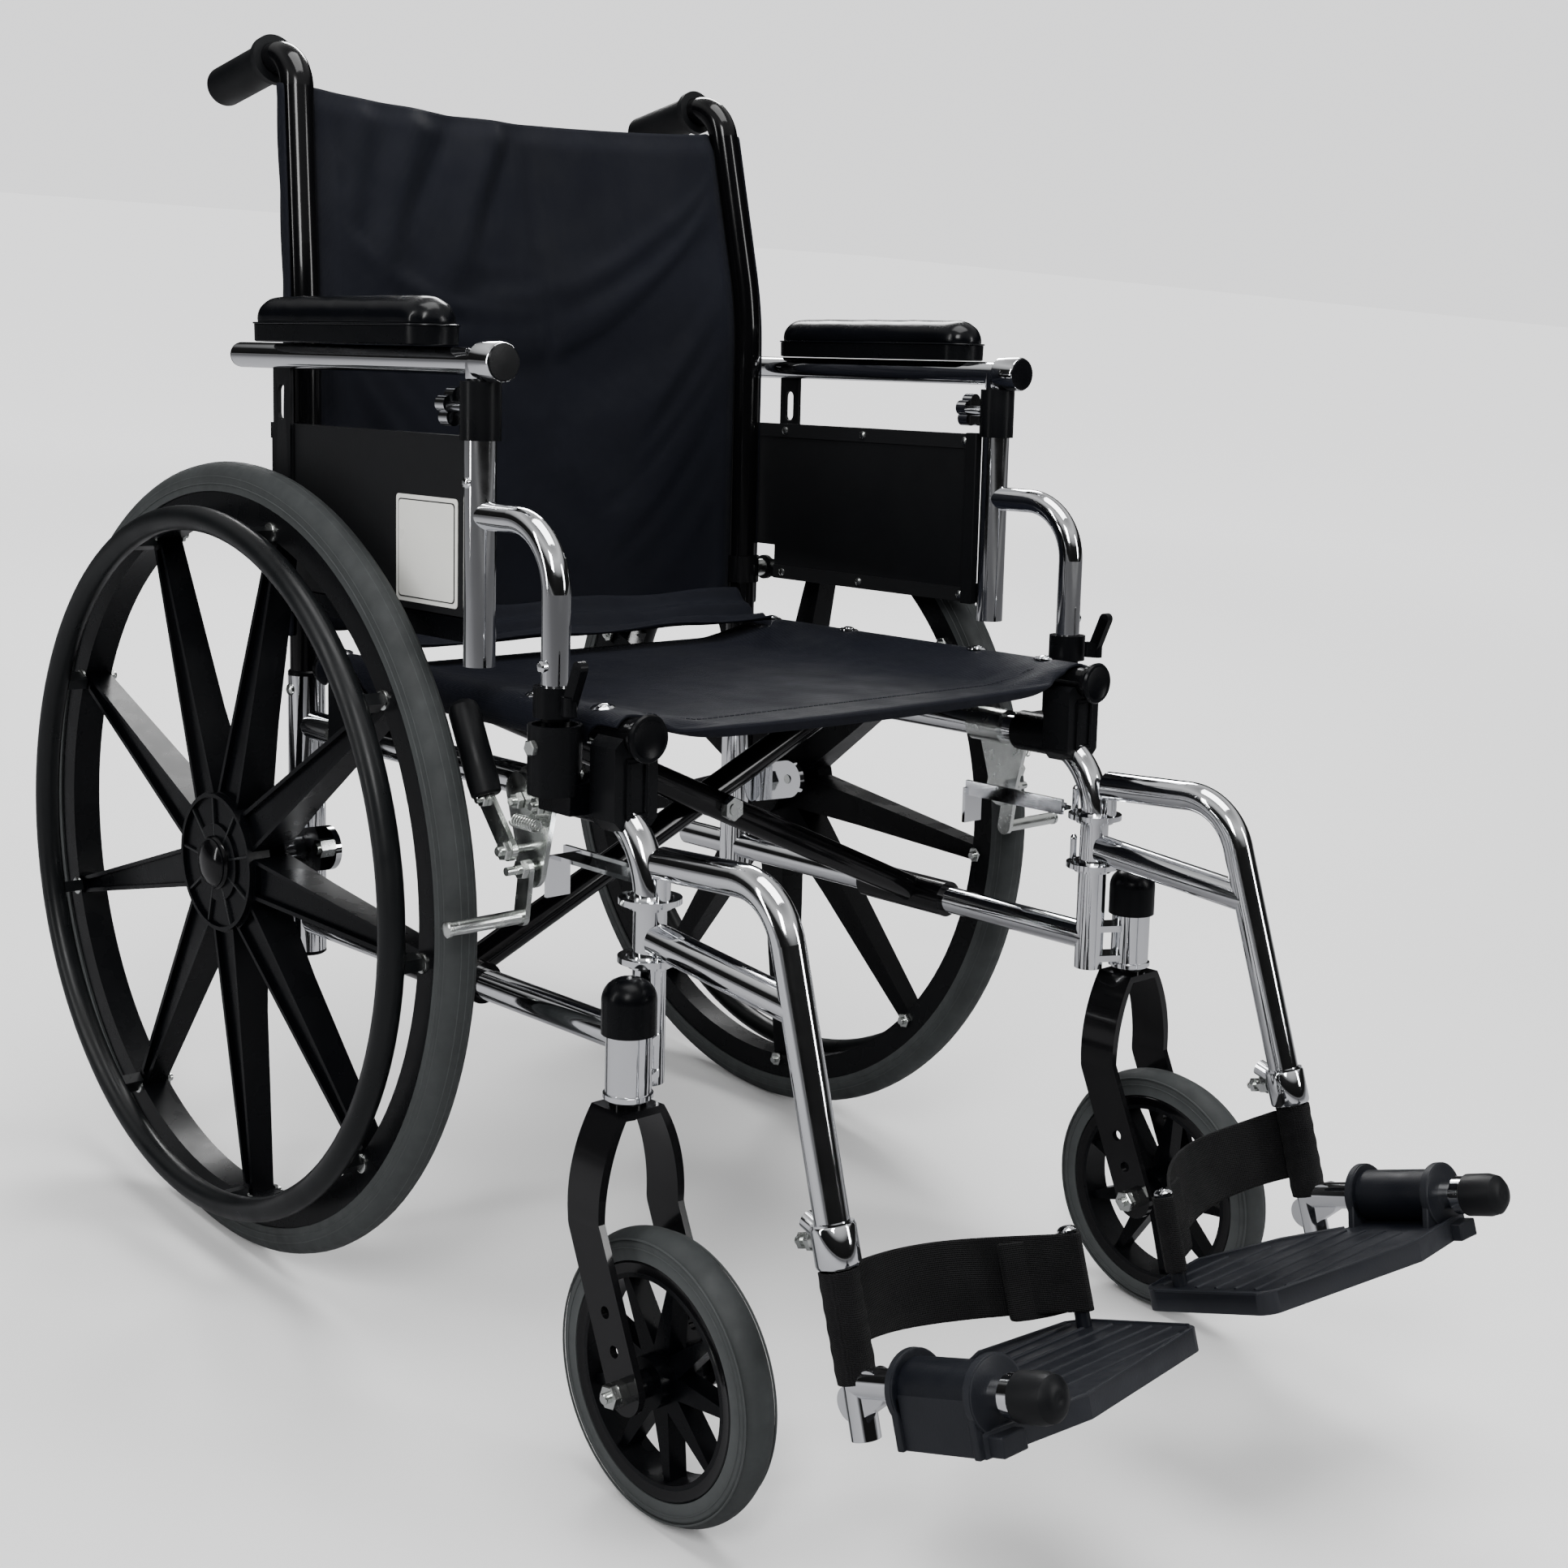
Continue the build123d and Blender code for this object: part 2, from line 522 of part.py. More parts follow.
def build_hanger():
    low = Vector(*HANGER_LOW) + POST_AXIS * 4.0
    with BuildPart() as hanger:
        rod([(SIDE_X, FRONT_Y - 8, 374.0), HANGER_TOP, tuple(low)], TUBE_R, 45.0)
        rod([(SIDE_X, FRONT_Y - 8, 323.0), along(HANGER_TOP, HANGER_LOW, 74.0)], TUBE_R)
        # collars that turn on the front post, each with a locating pin
        for z in (307.3, 346.3):
            disc((SIDE_X, FRONT_Y, z), (0, 0, 1), 21.0, 4.0)
            disc((SIDE_X - 4.0, FRONT_Y + 17.0, z), (0, 0, 1), 2.6, 20.0)
            disc((SIDE_X + 1.0, FRONT_Y - 14.0, z), (0, 0, 1), 5.0, 24.0)
        disc(tuple(low), tuple(POST_AXIS * -1), 13.5, 26.0)
        ear = low - POST_AXIS * 13.0
        disc(tuple(ear + Vector(0, 12, 4)), (0, 1, 0.3), 6.0, 14.0)
        disc((SIDE_X, FRONT_Y, 290.0), (0, 0, 1), TUBE_R + 0.4, 130.0, mode=Mode.SUBTRACT)
        # flat end that clears the frame's bend as the hanger swings
        block((SIDE_X - 15.0, FRONT_Y - 11.4, 351.0), (SIDE_X + 15.0, FRONT_Y + 5.0, 400.0),
              mode=Mode.SUBTRACT)
        disc(tuple(low + POST_AXIS), tuple(POST_AXIS * -1), TUBE_BORE, 150.0, mode=Mode.SUBTRACT)
    return hanger.part


def build_footrest_post():
    top = Vector(*HANGER_LOW) - POST_AXIS * 120.0
    foot = PLATE_ROOT + POST_AXIS * 33.0
    tip = PLATE_ROOT + PLATE_AXIS * 125.0
    with BuildPart() as post:
        rod([tuple(top), tuple(foot)], TUBE_BORE - CLEAR)
        rod([tuple(PLATE_ROOT), tuple(PLATE_ROOT + PLATE_AXIS * 148.0)], 9.5)
        disc(tuple(tip), tuple(PLATE_AXIS), 13.0, 27.0)
        with BuildSketch(side_plane(PLATE_ROOT.X - 6.0)):
            strap((PLATE_ROOT.Y, PLATE_ROOT.Z - 12), (PLATE_ROOT.Y - 16.0, PLATE_ROOT.Z + 3), 22.0)
        extrude(amount=12.0)
    return post.part


def build_footplate():
    # a hollow-backed tread below its hinge tube; it turns up about that tube
    across = Vector(-1, 0, 0)
    face = Plane(origin=tuple(PLATE_ROOT), x_dir=tuple(across), z_dir=tuple(across.cross(PLATE_AXIS)))
    outline = [(-17, 46), (-17, 114), (60, 126), (199, 100), (199, -2), (120, -18), (60, 12), (26, 46)]
    with BuildPart() as plate:
        with BuildSketch(face.offset(PLATE_FOOT)) as tread:
            with BuildLine():
                Polyline(*outline, close=True)
            make_face()
            fillet(vertices().group_by(Axis.X)[-1], 12.0)
        extrude(amount=PLATE_TOP - PLATE_FOOT)
        with BuildSketch(face.offset(PLATE_FOOT)):
            offset(tread.sketch, amount=-4.0)
        extrude(amount=PLATE_TOP - PLATE_FOOT - 6.0, mode=Mode.SUBTRACT)
        barrel = PLATE_ROOT + PLATE_AXIS * BARREL_START
        disc(tuple(barrel), tuple(PLATE_AXIS), 18.0, BARREL_END - BARREL_START)
        for s in (BARREL_START, BARREL_END - 6.0):
            disc(tuple(PLATE_ROOT + PLATE_AXIS * s), tuple(PLATE_AXIS), 22.0, 6.0)
        disc(tuple(PLATE_ROOT), tuple(PLATE_AXIS), 9.5 + CLEAR, 160.0, mode=Mode.SUBTRACT)
        # pin that holds the heel loop
        with BuildSketch(face.offset(-20.0)):
            with Locations((184.0, 18.0)):
                Circle(5.0)
        extrude(amount=66.0)
    return plate.part


def build_heel_loop():
    # webbing from the lower post round behind the heel to the pin on the plate
    y, high = PLATE_ROOT.Y, PLATE_ROOT.Z + 14
    start, mid, end = (SIDE_X - 8, y + 25.0), (138.0, y + 30.0), (52.0, y + 2.0)
    thick = 2.5
    with BuildPart() as loop:
        with BuildSketch(Plane.XY.offset(high)):
            with BuildLine():
                ThreePointArc(start, mid, end)
                Line(end, (end[0], end[1] + thick))
                ThreePointArc((end[0], end[1] + thick), (mid[0], mid[1] + thick), (start[0], start[1] + thick))
                Line((start[0], start[1] + thick), start)
            make_face()
        extrude(amount=50.0)
    return loop.part.rotate(Axis((SIDE_X - 8, y, high), (0, 1, 0)), -5.0)


# ---- brakes and latches ------------------------------------------------------------------
def build_brake_lever():
    py, pz = BRAKE_PIVOT
    with BuildPart() as lever:
        with BuildSketch(side_plane(BRAKE_X - 2.0)):
            strap((py, pz), (-288.0, 398.0), 15.0)
            strap((-288.0, 398.0), (-284.0, 412.0), 15.0)
        extrude(amount=4.0)
        rod([(BRAKE_X, -286.0, 406.0), (BRAKE_X, -261.0, 456.0)], 9.5)
        disc((BRAKE_X - 4, py, pz), (1, 0, 0), 3.0 + CLEAR, 8.0, mode=Mode.SUBTRACT)
    return lever.part


def build_brake_shoe():
    py, pz = SHOE_PIVOT
    with BuildPart() as shoe:
        with BuildSketch(side_plane(SIDE_X + 19.0)):
            strap((py, pz), (-317.0, 318.0), 13.0)
        extrude(amount=4.0)
        disc((SIDE_X + 19.0, -317.0, 318.0), (1, 0, 0), 5.0, 60.0)
        disc((SIDE_X + 15.0, py, pz), (1, 0, 0), 3.0 + CLEAR, 12.0, mode=Mode.SUBTRACT)
    return shoe.part


def build_release_lever():
    with BuildPart() as lever:
        block((SIDE_X - 22.0, -412.0, 352.0), (SIDE_X - 10.0, -310.0, 355.0))
        block((SIDE_X - 22.0, -412.0, 349.0), (SIDE_X - 19.0, -310.0, 361.0))
        block((SIDE_X - 24.0, -312.0, 326.0), (SIDE_X - 4.0, -309.0, 355.0))
        # head of the pivot pin
        disc((SIDE_X - 16.0, -408.0, 354.0), (0, 0, 1), 3.5, 3.0)
    return lever.part


# ---- cross braces, seat rails and upholstery ---------------------------------------------
def build_cross_brace(sleeve_side, bar_y, sleeve_y):
    """A sleeve on one lower tube and a straight bar up to the seat rail on the other side."""
    low = (sleeve_side * SIDE_X, bar_y, LOWER_Z)
    high = (-sleeve_side * SIDE_X, bar_y, RAIL_Z)
    with BuildPart() as brace:
        disc((sleeve_side * SIDE_X, sleeve_y, LOWER_Z), (0, 1, 0), SLEEVE_R, 95.0)
        rod([low, high], BRACE_R)
        disc((sleeve_side * SIDE_X, -300.0, LOWER_Z), (0, 1, 0), SLEEVE_BORE, 200.0, mode=Mode.SUBTRACT)
        disc((-sleeve_side * SIDE_X, -430.0, RAIL_Z), (0, 1, 0), RAIL_R + CLEAR, 430.0,
             mode=Mode.SUBTRACT)
        block((-sleeve_side * SIDE_X - 30, bar_y - 20, RAIL_Z + 2),
              (-sleeve_side * SIDE_X + 30, bar_y + 20, RAIL_Z + 40), mode=Mode.SUBTRACT)
        disc((0, -300.0, (LOWER_Z + RAIL_Z) / 2), (0, 1, 0), 5.0 + CLEAR, 200.0, mode=Mode.SUBTRACT)
    return brace.part.solids().sort_by(SortBy.VOLUME)[-1]


def build_brace_bolt():
    z = (LOWER_Z + RAIL_Z) / 2
    with BuildPart() as bolt:
        disc((0, BRACE_B_Y - BRACE_R - 8, z), (0, 1, 0), 5.0, 63.0)
        for y in (BRACE_B_Y - BRACE_R - 7, BRACE_A_Y + BRACE_R + 1):
            with BuildSketch(Plane(origin=(0, y, z), z_dir=(0, 1, 0))):
                RegularPolygon(9.5, 6)
            extrude(amount=6.5)
        disc((0, BRACE_B_Y + BRACE_R + 0.2, z), (0, 1, 0), 10.0, 2.6)
    return bolt.part


def build_seat_rail():
    with BuildPart() as rail:
        disc((SIDE_X, RAIL_REAR, RAIL_Z), (0, -1, 0), RAIL_R, RAIL_REAR - RAIL_FRONT, RAIL_R - 1.8)
        disc((SIDE_X, RAIL_FRONT, RAIL_Z), (0, -1, 0), 13.5, 5.0)
    return rail.part


def build_seat_half():
    with BuildPart() as seat:
        block((0.5, -405.0, RAIL_Z + RAIL_R + 0.4), (SIDE_X + 11.0, RAIL_REAR, RAIL_Z + RAIL_R + 3.4))
    return seat.part


def build_back_half():
    with BuildPart() as back:
        with BuildSketch(side_plane(0.5)):
            with BuildLine():
                Polyline((-5.5, 478.0), (-5.5, CANE_BEND_Z), (18.0, 884.0), (14.5, 884.0),
                         (-9.0, CANE_BEND_Z), (-9.0, 478.0), close=True)
            make_face()
        extrude(amount=198.0)
    return back.part


PAIRS = {
    "side_frame": build_side_frame,
    "back_cane": build_back_cane,
    "push_grip": build_push_grip,
    "frame_mouldings": build_frame_mouldings,
    "rear_axle": build_rear_axle,
    "brake_bracket": build_brake_bracket,
    "rear_wheel": build_rear_wheel,
    "rear_tyre": build_rear_tyre,
    "handrim": build_handrim,
    "caster_fork": build_caster_fork,
    "caster_axle": build_caster_axle,
    "caster_wheel": build_caster_wheel,
    "caster_tyre": build_caster_tyre,
    "armrest_frame": build_armrest_frame,
    "armrest_top": build_armrest_top,
    "arm_pad": build_arm_pad,
    "skirt_guard": build_skirt_guard,
    "arm_lock": build_arm_lock,
    "hanger": build_hanger,
    "footrest_post": build_footrest_post,
    "footplate": build_footplate,
    "heel_loop": build_heel_loop,
    "brake_lever": build_brake_lever,
    "brake_shoe": build_brake_shoe,
    "release_lever": build_release_lever,
    "seat_rail": build_seat_rail,
    "seat": build_seat_half,
    "back": build_back_half,
}

for pair_name, build in PAIRS.items():
    save_pair(build(), pair_name)

save(build_cross_brace(-1, BRACE_A_Y, -245.0), "cross_brace_a")
save(build_cross_brace(1, BRACE_B_Y, -275.0), "cross_brace_b")
save(build_brace_bolt(), "brace_bolt")
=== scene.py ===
import json
from math import atan2, cos, exp, pi, radians, sin

import bmesh
import bpy
from mathutils import Matrix, Vector

# A folding manual wheelchair. Lengths are in millimetres in the chair's level frame, which has
# the rear axle at y 0 and z 305, the front at negative y and the left side at positive x.
# at() turns them into points of the row frame, in metres. Values in metres say so.
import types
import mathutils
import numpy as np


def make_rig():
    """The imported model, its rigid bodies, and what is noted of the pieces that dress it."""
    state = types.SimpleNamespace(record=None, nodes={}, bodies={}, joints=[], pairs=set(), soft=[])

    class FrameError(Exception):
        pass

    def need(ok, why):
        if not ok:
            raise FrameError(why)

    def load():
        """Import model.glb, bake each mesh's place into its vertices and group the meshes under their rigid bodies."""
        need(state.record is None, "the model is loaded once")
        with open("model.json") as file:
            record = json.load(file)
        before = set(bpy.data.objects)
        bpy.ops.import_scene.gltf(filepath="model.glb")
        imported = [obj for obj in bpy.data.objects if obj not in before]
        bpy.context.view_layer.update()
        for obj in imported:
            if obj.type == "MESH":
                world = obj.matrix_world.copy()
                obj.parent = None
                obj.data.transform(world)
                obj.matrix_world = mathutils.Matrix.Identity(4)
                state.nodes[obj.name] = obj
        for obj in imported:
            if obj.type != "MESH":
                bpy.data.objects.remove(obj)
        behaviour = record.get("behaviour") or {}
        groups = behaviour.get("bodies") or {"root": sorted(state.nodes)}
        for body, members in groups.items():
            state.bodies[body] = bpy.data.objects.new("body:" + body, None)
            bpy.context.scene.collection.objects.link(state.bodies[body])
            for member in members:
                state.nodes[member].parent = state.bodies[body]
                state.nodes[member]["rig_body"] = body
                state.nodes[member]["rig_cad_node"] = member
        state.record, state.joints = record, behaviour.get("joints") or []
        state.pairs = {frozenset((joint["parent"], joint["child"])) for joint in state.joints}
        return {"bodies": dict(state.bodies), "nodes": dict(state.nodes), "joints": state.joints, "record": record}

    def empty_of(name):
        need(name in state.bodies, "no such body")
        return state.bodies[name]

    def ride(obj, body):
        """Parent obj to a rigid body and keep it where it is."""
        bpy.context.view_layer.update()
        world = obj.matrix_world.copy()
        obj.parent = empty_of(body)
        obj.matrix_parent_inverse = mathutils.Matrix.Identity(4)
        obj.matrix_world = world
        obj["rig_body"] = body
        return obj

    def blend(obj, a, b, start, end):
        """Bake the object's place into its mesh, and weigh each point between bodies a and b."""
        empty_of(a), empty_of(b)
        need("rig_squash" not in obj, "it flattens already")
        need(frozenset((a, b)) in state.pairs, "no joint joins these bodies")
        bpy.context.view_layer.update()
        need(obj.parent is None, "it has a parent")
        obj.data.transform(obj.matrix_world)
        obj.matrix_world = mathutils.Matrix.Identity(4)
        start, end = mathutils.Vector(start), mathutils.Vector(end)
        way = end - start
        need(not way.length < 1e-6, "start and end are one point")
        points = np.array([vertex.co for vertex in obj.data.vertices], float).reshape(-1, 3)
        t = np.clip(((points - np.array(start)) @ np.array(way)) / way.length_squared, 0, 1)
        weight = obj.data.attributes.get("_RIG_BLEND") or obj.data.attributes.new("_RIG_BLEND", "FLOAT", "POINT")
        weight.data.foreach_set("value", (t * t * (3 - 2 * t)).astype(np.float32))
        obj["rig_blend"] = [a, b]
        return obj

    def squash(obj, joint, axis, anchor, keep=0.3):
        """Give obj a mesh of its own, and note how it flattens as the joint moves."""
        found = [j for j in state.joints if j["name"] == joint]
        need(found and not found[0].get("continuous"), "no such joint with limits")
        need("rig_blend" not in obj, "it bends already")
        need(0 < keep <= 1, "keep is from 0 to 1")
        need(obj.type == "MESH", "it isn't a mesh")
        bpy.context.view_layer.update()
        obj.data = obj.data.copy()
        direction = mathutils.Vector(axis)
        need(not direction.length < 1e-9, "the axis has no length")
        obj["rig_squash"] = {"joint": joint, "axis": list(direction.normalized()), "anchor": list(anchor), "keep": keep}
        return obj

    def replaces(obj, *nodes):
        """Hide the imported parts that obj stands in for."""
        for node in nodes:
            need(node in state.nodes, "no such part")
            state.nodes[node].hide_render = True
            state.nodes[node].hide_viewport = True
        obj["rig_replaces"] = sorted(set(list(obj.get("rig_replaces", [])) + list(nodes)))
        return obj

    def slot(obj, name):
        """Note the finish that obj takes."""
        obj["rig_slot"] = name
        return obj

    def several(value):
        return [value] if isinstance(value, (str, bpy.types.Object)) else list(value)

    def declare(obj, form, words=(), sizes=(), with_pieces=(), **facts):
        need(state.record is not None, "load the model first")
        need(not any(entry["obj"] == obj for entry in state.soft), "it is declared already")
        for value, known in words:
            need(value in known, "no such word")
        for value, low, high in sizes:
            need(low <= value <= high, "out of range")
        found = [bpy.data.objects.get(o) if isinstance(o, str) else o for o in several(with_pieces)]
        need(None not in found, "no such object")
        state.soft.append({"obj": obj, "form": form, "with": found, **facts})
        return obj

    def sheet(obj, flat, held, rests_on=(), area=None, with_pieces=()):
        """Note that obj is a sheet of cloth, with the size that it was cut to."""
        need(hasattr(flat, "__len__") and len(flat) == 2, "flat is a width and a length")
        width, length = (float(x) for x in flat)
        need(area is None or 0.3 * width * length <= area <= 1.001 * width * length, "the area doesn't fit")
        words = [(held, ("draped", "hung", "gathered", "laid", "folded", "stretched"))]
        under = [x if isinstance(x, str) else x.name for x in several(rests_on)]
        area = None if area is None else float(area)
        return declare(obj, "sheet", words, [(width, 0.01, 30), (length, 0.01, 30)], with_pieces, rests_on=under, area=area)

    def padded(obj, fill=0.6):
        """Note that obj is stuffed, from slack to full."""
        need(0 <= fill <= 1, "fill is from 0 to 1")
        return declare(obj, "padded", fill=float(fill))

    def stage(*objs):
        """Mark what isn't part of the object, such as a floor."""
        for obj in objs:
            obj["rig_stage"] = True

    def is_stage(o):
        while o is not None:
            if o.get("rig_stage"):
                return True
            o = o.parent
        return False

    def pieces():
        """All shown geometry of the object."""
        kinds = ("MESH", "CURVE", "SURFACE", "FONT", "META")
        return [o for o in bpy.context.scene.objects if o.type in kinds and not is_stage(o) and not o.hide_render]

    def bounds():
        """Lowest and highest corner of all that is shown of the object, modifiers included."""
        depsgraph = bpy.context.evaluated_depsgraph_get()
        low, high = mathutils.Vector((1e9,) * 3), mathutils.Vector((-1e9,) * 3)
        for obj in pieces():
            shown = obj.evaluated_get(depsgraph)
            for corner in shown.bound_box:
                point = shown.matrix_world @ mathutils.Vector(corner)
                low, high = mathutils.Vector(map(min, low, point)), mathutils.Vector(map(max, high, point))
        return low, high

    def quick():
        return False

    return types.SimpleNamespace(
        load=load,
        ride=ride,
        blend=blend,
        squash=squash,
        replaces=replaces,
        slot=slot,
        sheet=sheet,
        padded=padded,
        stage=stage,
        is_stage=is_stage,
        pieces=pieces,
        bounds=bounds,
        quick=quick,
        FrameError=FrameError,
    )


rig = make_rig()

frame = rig.load()
cad_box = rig.bounds()
scene = bpy.context.scene

JOINTS = {joint["name"]: joint for joint in frame["joints"]}
UP = Vector(JOINTS["armrest_height_left"]["axis"])
BACK = Vector((0.0, UP.z, -UP.y))
ACROSS = Vector((1.0, 0.0, 0.0))
AXLE = Vector(JOINTS["rear_wheel_spin_left"]["pos_m"])
AXLE_Z = 305.0
SIDES = (("left", 1), ("right", -1))

SIDE_X, LOWER_Z, UPPER_Z = 226.0, 251.0, 406.0          # side frame tubes
RAIL_Z, RAIL_R = 453.0, 11.0                            # seat rails
SEAT_FRONT, SEAT_WRAP = -405.0, 34.0                    # wrap: the sling's way round a rail
CANE_R, CANE_Y, KNEE_Z = 12.5, -5.0, 738.0              # back canes and their bend
BACK_LOW, BACK_HIGH = 478.0, 894.0
ARM_X, ARM_TOP_Z, ARM_R = 257.5, 690.0, 9.5             # armrest tubes
PAD_X, PAD_Y, PAD_LONG, PAD_WIDE = 264.5, -134.5, 231.0, 42.0
PAD_FOOT = ARM_TOP_Z + ARM_R + 0.4
LEG_Y, POST_Y = -366.0, -281.0                          # armrest front leg and post
SKIRT_OUT, SKIRT_IN = 252.8, 247.9                      # faces of the skirt guards
WHEEL_X, SPOKES, FIRST_SPOKE = 281.5, 9, 25.0
CASTER_X, CASTER_Y = 256.0, -445.0                      # caster stems
BARREL = (46.0, 114.0)                                  # footplate hinge barrel, from the post
PLATE_TOP, PLATE_FOOT = -17.0, -31.0                    # footplate faces, from the hinge
PIN = (184.0, 18.0)                                     # heel loop pin on the footplate


def at(x, y, z):
    """A level-frame point in millimetres, as a row point in metres."""
    along = (BACK * y + UP * (z - AXLE_Z)) / 1000
    return Vector((x, 0, 0)) / 1000 + Vector((0, AXLE.y, AXLE.z)) + along


def level(point):
    """The reverse of at()."""
    away = Vector(point) - Vector((0, AXLE.y, AXLE.z))
    return Vector((away.x, away.dot(BACK), away.dot(UP) + AXLE_Z / 1000)) * 1000


def turn(x, y, z):
    """A level-frame direction in the row frame."""
    return (ACROSS * x + BACK * y + UP * z).normalized()


def smooth(t):
    t = max(0.0, min(1.0, t))
    return t * t * (3 - 2 * t)


def bell(t):
    """1 at 0, falling smoothly to 0 at 1 and -1."""
    return smooth(1 - abs(t))


# ---- materials ---------------------------------------------------------------------------
def material(name, colour, rough, metal=0.0, coat=0.0, sheen=0.0, mottle=0.2, mottle_scale=9.0,
             grain=0.1, grain_scale=900.0, weave=None, wear=0.0, wave=0.0, swing=0.1, gloss=0.5):
    """A principled surface whose colour, roughness and relief vary, with woven or ribbed cloth
    as an option. wear lightens convex edges, and wave adds the long ripple of drawn tube."""
    made = bpy.data.materials.new(name)
    made.use_nodes = True
    nodes, links = made.node_tree.nodes, made.node_tree.links
    surface = nodes["Principled BSDF"]

    def node(kind, **values):
        new = nodes.new(kind)
        for key, value in values.items():
            if key in new.inputs:
                new.inputs[key].default_value = value
            else:
                setattr(new, key, value)
        return new

    def spread(source, low, high):
        out = node("ShaderNodeMapRange")
        out.inputs["From Min"].default_value = 0.3
        out.inputs["From Max"].default_value = 0.7
        out.inputs["To Min"].default_value = low
        out.inputs["To Max"].default_value = high
        links.new(source, out.inputs["Value"])
        return out.outputs["Result"]

    where = node("ShaderNodeTexCoord").outputs["Object"]
    cloud = node("ShaderNodeTexNoise", Scale=mottle_scale, Detail=6.0, Roughness=0.6)
    links.new(where, cloud.inputs["Vector"])
    smudge = node("ShaderNodeTexNoise", Scale=mottle_scale * 4.3, Detail=4.0)
    links.new(where, smudge.inputs["Vector"])

    shade = node("ShaderNodeMix", data_type="RGBA")
    shade.inputs["A"].default_value = (*[c * (1 - mottle) for c in colour], 1)
    shade.inputs["B"].default_value = (*[min(1.0, c * (1 + mottle)) for c in colour], 1)
    links.new(spread(cloud.outputs["Fac"], 0.0, 1.0), shade.inputs["Factor"])
    paint = shade.outputs["Result"]
    if wear:
        edge = node("ShaderNodeMapRange")
        edge.inputs["From Min"].default_value = 0.52
        edge.inputs["From Max"].default_value = 0.62
        edge.inputs["To Max"].default_value = wear
        links.new(node("ShaderNodeNewGeometry").outputs["Pointiness"], edge.inputs["Value"])
        worn = node("ShaderNodeMix", data_type="RGBA")
        worn.inputs["B"].default_value = (*[min(1.0, c * 2.4 + 0.03) for c in colour], 1)
        links.new(edge.outputs["Result"], worn.inputs["Factor"])
        links.new(paint, worn.inputs["A"])
        paint = worn.outputs["Result"]
    links.new(paint, surface.inputs["Base Color"])
    low, high = max(0.02, rough * (1 - swing * 2)), min(1.0, rough * (1 + swing * 2))
    links.new(spread(smudge.outputs["Fac"], low, high), surface.inputs["Roughness"])
    surface.inputs["Metallic"].default_value = metal
    surface.inputs["Specular IOR Level"].default_value = gloss
    surface.inputs["Coat Weight"].default_value = coat
    surface.inputs["Coat Roughness"].default_value = 0.08
    surface.inputs["Sheen Weight"].default_value = sheen
    surface.inputs["Sheen Roughness"].default_value = 0.45

    relief = None
    steps = [("ShaderNodeTexNoise", {"Scale": grain_scale, "Detail": 3.0}, grain, 0.0002)]
    if wave:
        steps.append(("ShaderNodeTexNoise", {"Scale": 14.0, "Detail": 1.0}, wave, 0.002))
    if weave:
        scale, depth = weave
        for way in "XZ":
            values = {"bands_direction": way, "Scale": scale, "Distortion": 0.4, "Detail": 1.0}
            steps.append(("ShaderNodeTexWave", values, depth, 0.0005))
    for kind, values, strength, distance in steps:
        pattern = node(kind, **values)
        links.new(where, pattern.inputs["Vector"])
        bump = node("ShaderNodeBump", Strength=strength, Distance=distance)
        links.new(pattern.outputs["Fac"], bump.inputs["Height"])
        if relief:
            links.new(relief, bump.inputs["Normal"])
        relief = bump.outputs["Normal"]
    links.new(relief, surface.inputs["Normal"])
    return made


CHROME = material("chrome", (0.79, 0.8, 0.82), 0.07, metal=1.0, mottle=0.03, grain=0.02, wave=0.06,
                  swing=0.25)
ZINC = material("zinc", (0.6, 0.62, 0.6), 0.24, metal=1.0, mottle=0.06, mottle_scale=30.0,
                grain=0.015)
PAINT = material("black_paint", (0.002, 0.002, 0.0024), 0.16, coat=0.3, gloss=0.12, mottle=0.25,
                 grain=0.03, grain_scale=420.0, wear=0.08)
RUBBER = material("grip_rubber", (0.0035, 0.0038, 0.0045), 0.44, gloss=0.13, mottle=0.2, grain=0.25,
                  wear=0.1)
PLASTIC = material("black_plastic", (0.0014, 0.0016, 0.0022), 0.28, gloss=0.09, mottle=0.25,
                   grain=0.06, grain_scale=700.0, wear=0.1)
RIM_COAT = material("rim_coating", (0.005, 0.0056, 0.0062), 0.34, gloss=0.2, mottle=0.2, grain=0.08,
                    swing=0.12)
TYRE = material("tyre", (0.023, 0.026, 0.0265), 0.7, gloss=0.35, mottle=0.22, mottle_scale=16.0,
                grain=0.4, wear=0.3)
VINYL = material("vinyl", (0.0018, 0.0021, 0.003), 0.25, coat=0.08, gloss=0.16, mottle=0.2,
                 grain=0.12, grain_scale=520.0)
PANEL = material("panel", (0.0012, 0.0014, 0.002), 0.36, gloss=0.08, mottle=0.3, grain=0.22,
                 grain_scale=620.0, wear=0.3)
COMPOSITE = material("composite", (0.0045, 0.0053, 0.0078), 0.42, gloss=0.15, mottle=0.22,
                     grain=0.4, grain_scale=640.0, wear=0.35, swing=0.16)
WEBBING = material("webbing", (0.0025, 0.0025, 0.003), 0.85, sheen=0.03, gloss=0.15,
                   mottle=0.25, grain=0.3, weave=(260.0, 0.8))
NYLON = material("nylon", (0.0026, 0.0034, 0.0072), 0.6, sheen=0.016, gloss=0.12, mottle=0.22,
                 mottle_scale=5.0, grain=0.15, weave=(480.0, 0.35))
THREAD = material("thread", (0.008, 0.009, 0.015), 0.7, sheen=0.05, gloss=0.2, mottle=0.2,
                  weave=(900.0, 0.4))
LABEL = material("label", (0.74, 0.74, 0.7), 0.34, mottle=0.05, grain=0.1, coat=0.3)
INK = material("label_edge", (0.03, 0.03, 0.03), 0.4, mottle=0.1)
